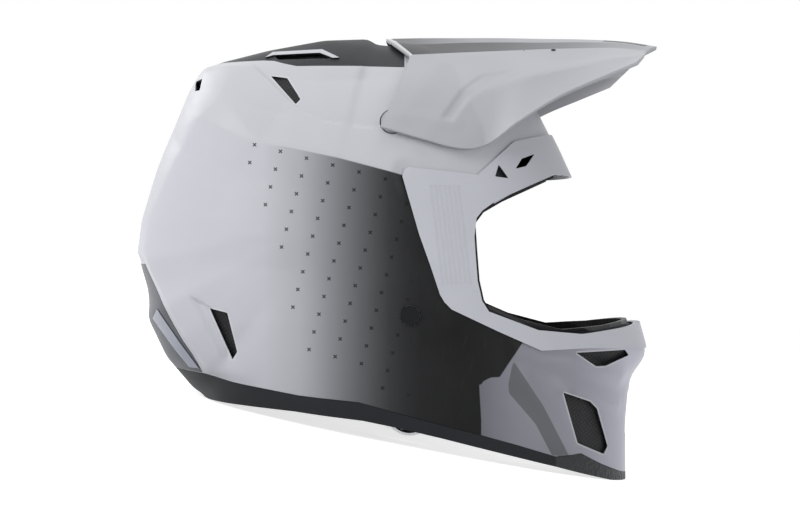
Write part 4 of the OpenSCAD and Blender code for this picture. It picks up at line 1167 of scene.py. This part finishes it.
class HelmetSizes(bpy.types.PropertyGroup):
    skin_cuts: bpy.props.IntProperty(name="Skin divisions",
                                     description="Divisions along each side of the skin",
                                     default=100, min=20, max=110)
    peak_wall: bpy.props.FloatProperty(name="Peak wall", description="Thickness of the peak",
                                       default=0.0024, min=0.001, max=0.005, unit="LENGTH")
    strap_width: bpy.props.FloatProperty(name="Strap width", description="Width of the chin strap",
                                         default=0.024, min=0.02, max=0.028, unit="LENGTH")
    pad_swell: bpy.props.FloatProperty(name="Pad swell",
                                       description="How far the pads swell between their seams",
                                       default=0.0035, min=0, max=0.01, unit="LENGTH")


def colour_property(name, description, default):
    return bpy.props.FloatVectorProperty(name=name, description=description, default=default,
                                         subtype="COLOR",
                                         min=0, max=1, size=3)


class HelmetColours(bpy.types.PropertyGroup):
    shell_white: colour_property("Shell", "Lacquer of the shell", (0.57, 0.58, 0.615))
    peak_grey: colour_property("Peak", "Plastic of the peak", (0.47, 0.475, 0.51))
    frame_grey: colour_property("Frame", "Plastic of the eye port frame", (0.56, 0.57, 0.62))
    charcoal: colour_property("Covers", "Plastic of the crown cover and the vent plugs",
                              (0.03, 0.031, 0.036))
    trim: colour_property("Trim", "Rubber of the trim and the gasket", (0.013, 0.014, 0.017))
    skid: colour_property("Skid plate", "Plastic of the skid plate", (0.018, 0.019, 0.023))
    bumper: colour_property("Bumper", "Plastic of the rear lower cover", (0.075, 0.08, 0.095))
    insert: colour_property("Inserts", "Plastic of the rear inserts", (0.34, 0.36, 0.42))
    black: colour_property("Small parts", "Plastic of the small black parts", (0.012, 0.012, 0.014))
    lining: colour_property("Pads", "Fabric of the pads", (0.045, 0.047, 0.055))
    tape: colour_property("Strap", "Webbing of the strap", (0.02, 0.02, 0.022))


def sizes():
    return bpy.context.scene.helmet_sizes


def colours():
    return bpy.context.scene.helmet_colours


# ---------------------------------------------------------------- pieces

def neck_cut(gap=GAP):
    rim = [(x, z + gap) for x, z in TRIM_TOP + SKID_RISE[1:]]
    return prism([(-220, rim[0][1])] + rim + [(260, -172), (260, -400), (-220, -400)])


def floor_cut():
    """Everything below the surface that the helmet stands on."""
    back = PLACE.inverted()
    corners = [back @ Vector((x, 0, z)) for x, z in ((-0.3, 0), (0.3, 0), (0.3, -0.1), (-0.3, -0.1))]
    return prism([(corner.x, corner.z) for corner in corners])


def band_piece(edge_a, edge_b, outer, inner, cuts):
    return combine(wall_between(outer, inner, cuts), [between(edge_a, edge_b)], "INTERSECT")


def worn_places(obj):
    back = np.array(PLACE.inverted())
    return vertex_places(obj) @ back[:3, :3].T + back[:3, 3]


class HELMET_OT_camera_and_stage(bpy.types.Operator):
    """Makes the camera, the pale floor, the backdrop and the soft lamps"""
    bl_idname = "helmet.camera_and_stage"
    bl_label = "Camera and stage"

    def execute(self, context):
        scene = context.scene
        scene.view_settings.view_transform = "Standard"
        lens = bpy.data.cameras.new("camera")
        lens.sensor_width = 36
        lens.lens = 102.86
        lens.clip_end = 50
        camera = bpy.data.objects.new("camera", lens)
        middle = PLACE @ Vector((49, 0, -23.1))
        camera.location = (middle.x, -1.6, middle.z)
        camera.rotation_euler = (math.radians(90), -TILT, 0)
        scene.collection.objects.link(camera)
        scene.camera = camera
        self.floor(scene)
        self.backdrop(scene)
        for name, place, size, power in (
            ("key", (-1.6, -1.2, 1.2), 1.2, 25), ("front fill", (1.7, -1.4, 0.6), 1.2, 7),
            ("top", (0.1, 0.3, 2.2), 1.6, 11), ("rear", (-1.6, 1.4, 0.9), 1.2, 8),
        ):
            lamp = bpy.data.lights.new(name, "AREA")
            lamp.shape = "DISK"
            lamp.size = size
            lamp.energy = power
            obj = bpy.data.objects.new(name, lamp)
            obj.location = place
            obj.rotation_euler = (Vector((0, 0, 0.14)) - Vector(place)).to_track_quat("-Z", "Y").to_euler()
            scene.collection.objects.link(obj)
        return {"FINISHED"}

    def floor(self, scene):
        bm = bmesh.new()
        bmesh.ops.create_grid(bm, x_segments=1, y_segments=1, size=14)
        bmesh.ops.translate(bm, verts=bm.verts, vec=(0, 0, -0.0002))
        floor = plain_object(bm, "floor")
        material, tree, shader = new_material("Pale floor", (0.86, 0.86, 0.87), 0.8, specular=0.1)
        path = put(tree, "ShaderNodeLightPath")
        glow = put(tree, "ShaderNodeEmission", {"Color": (1, 1, 1, 1), "Strength": 0.72})
        both = put(tree, "ShaderNodeAddShader")
        tree.links.new(shader.outputs[0], both.inputs[0])
        tree.links.new(glow.outputs[0], both.inputs[1])
        seen = calc(tree, "MAXIMUM", path.outputs["Is Camera Ray"],
                    calc(tree, "MAXIMUM", path.outputs["Is Glossy Ray"],
                         path.outputs["Is Transmission Ray"]))
        mixed = put(tree, "ShaderNodeMixShader", {"Fac": seen})
        tree.links.new(shader.outputs[0], mixed.inputs[1])
        tree.links.new(both.outputs[0], mixed.inputs[2])
        tree.links.new(mixed.outputs[0], tree.nodes["Material Output"].inputs["Surface"])
        floor.data.materials.append(material)

    def backdrop(self, scene):
        world = scene.world or bpy.data.worlds.new("world")
        scene.world = world
        world.use_nodes = True
        tree = world.node_tree
        tree.nodes.clear()
        path = put(tree, "ShaderNodeLightPath")
        seen = calc(tree, "MAXIMUM", path.outputs["Is Camera Ray"],
                    calc(tree, "MAXIMUM", path.outputs["Is Glossy Ray"],
                         path.outputs["Is Transmission Ray"]))
        dim = put(tree, "ShaderNodeBackground", {"Color": (1, 1, 1, 1), "Strength": 0.38})
        white = put(tree, "ShaderNodeBackground", {"Color": (1, 1, 1, 1), "Strength": 1.0})
        mixed = put(tree, "ShaderNodeMixShader", {"Fac": seen})
        tree.links.new(dim.outputs[0], mixed.inputs[1])
        tree.links.new(white.outputs[0], mixed.inputs[2])
        out = put(tree, "ShaderNodeOutputWorld")
        tree.links.new(mixed.outputs[0], out.inputs["Surface"])


class HELMET_OT_shell(bpy.types.Operator):
    """Builds the creased lacquered shell with its vents, eye port and rebates"""
    bl_idname = "helmet.shell"
    bl_label = "Shell"

    def execute(self, context):
        shell = wall_between(0, SHELL_WALL, sizes().skin_cuts, relieved=True)
        cutters = [prism(EYE_PORT + [(260, -55), (260, 60)]), neck_cut()]
        for name, outline in VENTS.items():
            cutters += both_sides(outline, 56 if name == "brow_notch" else 20)
        for z in REAR_VENT_Z:
            for side in (-1, 1):
                middle = side * REAR_VENT_Y
                cutters.append(block((-200, middle - 12, z - REAR_VENT_H / 2),
                                     (-70, middle + 12, z + REAR_VENT_H / 2)))
        w, h = MOUTH_VENT
        cutters.append(block((180, -w / 2, MOUTH_VENT_Z - h / 2), (260, w / 2, MOUTH_VENT_Z + h / 2)))
        for x, z, r in ((*ANCHOR, ANCHOR_HOLE_R), (PIVOT.x, PIVOT.z, BOSS_HOLE_R)):
            cutters += [rod(x, z, r, 60, 200), rod(x, z, r, -200, -60)]
        combine(shell, cutters, "DIFFERENCE")
        rebates = []
        for outline in (crown_outline(), bumper_outline()):
            pocket = wall_between(-8, COVER_WALL + GAP, 40)
            rebates.append(combine(pocket, [prism(outline)], "INTERSECT"))
        combine(shell, rebates, "DIFFERENCE")
        finish_piece(shell, "lacquered_shell", "outer_shell", "helmet",
                     shell_lacquer(colours()), 30)
        points = worn_places(shell)
        x, z = points[:, 0], points[:, 2]
        below = -from_line(x, z, [(-140, 84), (-80, 66)] + UPPER_CREASE[1:] + [(140, 4)])
        store(shell, "below_crease", below)
        chin = from_line(x, z, CHIN_EDGE)
        store(shell, "past_chin_line", chin)
        store(shell, "chin_band", inside(x, z, CHIN_BAND))
        area = np.minimum(below + 2.5, from_line(x, z, CROSSES_LEFT))
        area = np.minimum(area, from_line(x, z, CROSSES_LOW))
        area = np.minimum(area, 57 - x)
        store(shell, "cross_area", np.minimum(area, -chin))
        # Distance to the vents, for the painted highlight round their edges.
        rims = [inside(x, z, VENTS[name]) for name in ("chin_low", "chin_up", "lower", "upper")]
        store(shell, "vent_rim_highlight", np.max(rims, axis=0))
        return {"FINISHED"}


def crown_outline(gap=0.0):
    return [(x, z + gap) for x, z in CROWN_EDGE] + [(52, 160), (-76, 160)]


def bumper_outline(gap=0.0):
    edge = [(x - gap, z) for x, z in BUMPER_EDGE]
    return edge + [(-84, -99.8), (-104, -98.1), (-160, -94.7), (-160, -27)]


class HELMET_OT_crown_cover(bpy.types.Operator):
    """Builds the dark cover along the crown"""
    bl_idname = "helmet.crown_cover"
    bl_label = "Crown cover"

    def execute(self, context):
        cover = wall_between(0, COVER_WALL, 64)
        combine(cover, [prism(crown_outline(GAP))], "INTERSECT")
        holes = both_sides(VENTS["crown"], 20)
        combine(cover, holes, "DIFFERENCE")
        finish_piece(cover, "crown_cover", "crown_insert", "helmet",
                     moulded("Charcoal plastic", colours().charcoal, 0.5, 0.4, 0.012, specular=0.15))
        mark_edges(cover)
        lips = wall_between(-1.2, -0.02, 64)
        combine(lips, both_sides_joined(CROWN_LIP, 20), "INTERSECT")
        finish_piece(lips, "crown_vent_lips", None, "helmet",
                     moulded("Pale plastic", colours().shell_white, 0.45, 0.4, 0.008, change=0.04,
                             specular=0.25))
        return {"FINISHED"}


class HELMET_OT_eye_frame(bpy.types.Operator):
    """Builds the pale frame round the eye port"""
    bl_idname = "helmet.eye_frame"
    bl_label = "Eye port frame"

    def execute(self, context):
        ring = wall_between(-1.7, -0.1, 84)
        combine(ring, [prism(FRAME_OUTER + list(reversed(FRAME_INNER)))], "INTERSECT")
        holes = []
        for name in ("brow_slot", "brow_notch", "brow_plug"):
            holes += both_sides(VENTS[name], 56 if name == "brow_notch" else 20)
        combine(ring, holes, "DIFFERENCE")
        finish_piece(ring, "eye_port_frame", "face_frame", "helmet",
                     frame_paint(colours()))
        mark_edges(ring)
        return {"FINISHED"}


class HELMET_OT_peak(bpy.types.Operator):
    """Builds the adjustable peak"""
    bl_idname = "helmet.peak"
    bl_label = "Peak"

    def execute(self, context):
        bm = bmesh.new()
        bmesh.ops.create_grid(bm, x_segments=160, y_segments=130, size=1)
        flat = points_of(bm)
        across, along = flat[:, 0] * 4, (flat[:, 1] + 1) / 2
        move_points(bm, scooped(peak_points(across, along)))
        bm.verts.index_update()
        layer = bm.loops.layers.uv.new("peak")
        for face in bm.faces:
            for loop in face.loops:
                loop[layer].uv = (across[loop.vert.index], along[loop.vert.index])
        bmesh.ops.recalc_face_normals(bm, faces=bm.faces)
        bm.normal_update()
        if sum(f.normal.z * f.calc_area() for f in bm.faces) < 0:
            bmesh.ops.reverse_faces(bm, faces=bm.faces)
        peak = plain_object(bm, "peak")
        wall = peak.modifiers.new("thickness", "SOLIDIFY")
        wall.thickness = sizes().peak_wall * 1000
        wall.offset = -1
        wall.use_even_offset = False
        apply_modifiers(peak)
        peak.data.transform(PLACE)
        peak.data.shade_smooth()
        peak.data.set_sharp_from_angle(angle=math.radians(30))
        peak.data.materials.append(peak_paint(colours()))
        count = len(flat)
        store(peak, "inner_face", [0] * count + [1] * (len(peak.data.vertices) - count))
        mark_edges(peak, 40)
        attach(peak, "visor")
        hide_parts("visor")
        return {"FINISHED"}


class HELMET_OT_trim(bpy.types.Operator):
    """Builds the rubber trim of the neck opening and the skid plate"""
    bl_idname = "helmet.trim"
    bl_label = "Trim and skid plate"

    def execute(self, context):
        trim = band_piece(TRIM_TOP, TRIM_BOTTOM, 0, 9, 72)
        combine(trim, [floor_cut()], "DIFFERENCE")
        finish_piece(trim, "rubber_trim", "base_trim", "helmet",
                     moulded("Edge rubber", colours().trim, 0.6, 0.5, 0.02, wear=0, specular=0.2))
        skid = band_piece(SKID_TOP, SKID_BOTTOM, 0, 13, 72)
        combine(skid, [band_piece(SKID_RISE, SKID_BOTTOM, 0, SHELL_WALL, 72)], "UNION")
        combine(skid, [floor_cut()], "DIFFERENCE")
        finish_piece(skid, "skid_plate", "chin_skid", "helmet",
                     moulded("Skid plastic", colours().skid, 0.5, 2.6, 0.9, change=0.5, wear=0,
                             specular=0.3))
        return {"FINISHED"}


class HELMET_OT_bumper(bpy.types.Operator):
    """Builds the rear lower cover and its two inserts"""
    bl_idname = "helmet.bumper"
    bl_label = "Rear cover"

    def execute(self, context):
        slot = INSERT_FRONT + list(reversed(INSERT_BACK))
        cover = wall_between(0, COVER_WALL, 64)
        combine(cover, [prism(bumper_outline(GAP))], "INTERSECT")
        combine(cover, both_sides(slot, 5), "DIFFERENCE")
        finish_piece(cover, "rear_cover", "rear_bumper", "helmet",
                     moulded("Bumper plastic", colours().bumper, 0.45, 0.5, 0.012, wear=0.05,
                             specular=0.25))
        inserts = wall_between(-0.4, COVER_WALL, 64)
        combine(inserts, both_sides_joined(drawn_in(slot, 0.3)), "INTERSECT")
        finish_piece(inserts, "rear_cover_inserts", "rear_bumper_inserts", "helmet",
                     moulded("Insert plastic", colours().insert, 0.4, 0.5, 0.01, wear=0.05, specular=0.25))
        for piece in (cover, inserts):
            mark_edges(piece)
        return {"FINISHED"}


def both_sides_joined(outline, low=5.0):
    """The two side prisms of an outline as one object."""
    one, other = both_sides(outline, low, 0.0)
    return [combine(one, [other], "UNION")]


class HELMET_OT_small_parts(bpy.types.Operator):
    """Gives the screens, plugs, fasteners and rings their finishes"""
    bl_idname = "helmet.small_parts"
    bl_label = "Vents and small parts"

    def execute(self, context):
        c = colours()
        black = moulded("Black plastic", c.black, 0.45, 0.4, 0.01)
        pale = moulded("Pale plastic", c.shell_white, 0.45, 0.4, 0.008, change=0.04, specular=0.25)
        charcoal = moulded("Charcoal plastic", c.charcoal, 0.5, 0.4, 0.012, specular=0.15)
        rubber = moulded("Edge rubber", c.trim, 0.6, 0.5, 0.02, wear=0, specular=0.2)
        mesh = screen_mesh((0.005, 0.005, 0.006))
        stud = moulded("Stud plastic", (0.6, 0.61, 0.63), 0.4, 0.4, 0.01, change=0.06)
        disc = moulded("Slip disc plastic", (0.05, 0.18, 0.42), 0.25, 1.0, 0.005)
        steel = metal("Blasted steel", (0.46, 0.47, 0.49), 0.42, 0.2)
        plated = metal("Plated steel", (0.62, 0.63, 0.65), 0.16, 0.12)
        beads = foam("Expanded foam", (0.045, 0.046, 0.05), 3.2)
        open_foam = foam("Filter foam", (0.02, 0.02, 0.021), 0.9)
        cap = moulded("Cap plastic", (0.008, 0.0083, 0.009), 0.5, 0.4, 0.01, wear=0, specular=0.12)
        chosen = {
            pale: ("visor_arm_bosses", "visor_pivot_sockets"),
            black: ("chin_deflector", "mouth_vent_grille", "visor_pins", "chin_rivets", "strap_snap"),
            cap: ("strap_anchor_caps",),
            charcoal: ("brow_vent_plugs",),
            rubber: ("eye_port_gasket",),
            mesh: ("upper_vent_screens", "lower_vent_screens", "crown_vent_screens", "rear_vent_screens",
                   "chin_upper_screens", "chin_lower_screens"),
            stud: ("cheek_snap_sockets", "cheek_snaps_left", "cheek_snaps_right"),
            disc: ("slip_discs",),
            steel: ("strap_rivets", "strap_anchor_plates", "visor_pivot_studs"),
            plated: ("d_ring_inner", "d_ring_outer"),
            beads: ("impact_liner", "chin_liner", "cheek_core_left", "cheek_core_right"),
            open_foam: ("mouth_vent_filter",),
        }
        for material, nodes in chosen.items():
            for node in nodes:
                dress(node, material)
        return {"FINISHED"}


class HELMET_OT_pads(bpy.types.Operator):
    """Builds the sewn crown pad, cheek pads and neck roll"""
    bl_idname = "helmet.pads"
    bl_label = "Pads"

    def execute(self, context):
        pad_fabric(colours().lining)
        swell_mm = sizes().pad_swell * 1000
        crown_seams = [
            lambda p: p[:, 1] - 24, lambda p: p[:, 1] + 24, lambda p: p[:, 1] - 58, lambda p: p[:, 1] + 58,
            lambda p: np.degrees(np.arctan2(p[:, 2], p[:, 0])) - 75,
            lambda p: np.degrees(np.arctan2(p[:, 2], p[:, 0])) - 120,
            lambda p: np.degrees(np.arctan2(p[:, 2], p[:, 0])) - 160,
        ]
        pad("crown_pad", "sewn_crown_pad", "helmet", crown_seams, 2.6, 2.8, 0.2, min(swell_mm, 0.6), 0.35)
        roll_seams = [lambda p: p[:, 2] + 92, lambda p: p[:, 1] - 40, lambda p: p[:, 1] + 40]
        pad("neck_roll", "sewn_neck_roll", "helmet", roll_seams, 2.4, 4, 2.4, swell_mm, 0.8)
        for side, name in ((1, "left"), (-1, "right")):
            middle = Vector((50, -62))

            def oval(p):
                size = np.hypot((p[:, 0] - middle.x) / 27, (p[:, 2] - middle.y) / 22)
                return (size - 1.0) * 24

            def rim(p, side=side):
                return np.abs(p[:, 1]) - 78

            def column(p):
                return p[:, 0] - 50 + 100 * (np.hypot((p[:, 0] - middle.x) / 27,
                                                      (p[:, 2] - middle.y) / 22) > 1)

            pad("cheek_pad_" + name, "sewn_cheek_pad_" + name, "cheek_" + name, [oval, rim, column], 2.4, 4,
                2.4,
                swell_mm, 0.8)
        return {"FINISHED"}


class HELMET_OT_straps(bpy.types.Operator):
    """Builds the two halves of the chin strap, the ring sleeve and the pull tabs"""
    bl_idname = "helmet.straps"
    bl_label = "Straps"

    def execute(self, context):
        webbing = tape("Strap webbing", colours().tape, 0.9)
        low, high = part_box("strap_long")
        start = high.y * 1000 - 0.9
        down = [(start, ANCHOR[1] + 8)] + [(start + shift, z) for z, shift in STRAP_DOWN]
        width = sizes().strap_width * 1000
        for node, end, side in (("strap_short", SHORT_END, -1), ("strap_long", LONG_END, 1)):
            piece = ribbon(node + "_webbing", down + end, side, width, 1.8)
            finish_piece(piece, node + "_webbing", node, "helmet", webbing, 50)
        tape_copy("d_ring_sleeve", "ring_sleeve", "helmet", webbing)
        red = tape("Tab webbing", (0.55, 0.045, 0.03), 0.8)
        for name in ("left", "right"):
            tape_copy("release_tab_" + name, "pull_tab_" + name, "cheek_" + name, red)
        return {"FINISHED"}


STEPS = (
    HELMET_OT_camera_and_stage, HELMET_OT_small_parts, HELMET_OT_shell, HELMET_OT_crown_cover,
    HELMET_OT_eye_frame,
    HELMET_OT_peak, HELMET_OT_trim, HELMET_OT_bumper, HELMET_OT_straps, HELMET_OT_pads,
)


class HELMET_PT_panel(bpy.types.Panel):
    bl_idname = "HELMET_PT_panel"
    bl_label = "Off-road helmet"
    bl_space_type = "VIEW_3D"
    bl_region_type = "UI"
    bl_category = "Helmet"

    def draw(self, context):
        layout = self.layout
        for group in (context.scene.helmet_sizes, context.scene.helmet_colours):
            for name in type(group).__annotations__:
                layout.prop(group, name)
        for step in STEPS:
            layout.operator(step.bl_idname)


CLASSES = (HelmetSizes, HelmetColours) + STEPS + (HELMET_PT_panel,)


def register():
    for cls in CLASSES:
        bpy.utils.register_class(cls)
    bpy.types.Scene.helmet_sizes = bpy.props.PointerProperty(type=HelmetSizes)
    bpy.types.Scene.helmet_colours = bpy.props.PointerProperty(type=HelmetColours)


def unregister():
    del bpy.types.Scene.helmet_colours
    del bpy.types.Scene.helmet_sizes
    for cls in reversed(CLASSES):
        bpy.utils.unregister_class(cls)


def main():
    register()
    bpy.ops.helmet.camera_and_stage()
    bpy.ops.helmet.small_parts()
    bpy.ops.helmet.shell()
    bpy.ops.helmet.crown_cover()
    bpy.ops.helmet.eye_frame()
    bpy.ops.helmet.peak()
    bpy.ops.helmet.trim()
    bpy.ops.helmet.bumper()
    bpy.ops.helmet.straps()
    bpy.ops.helmet.pads()


if __name__ == "__main__":
    main()
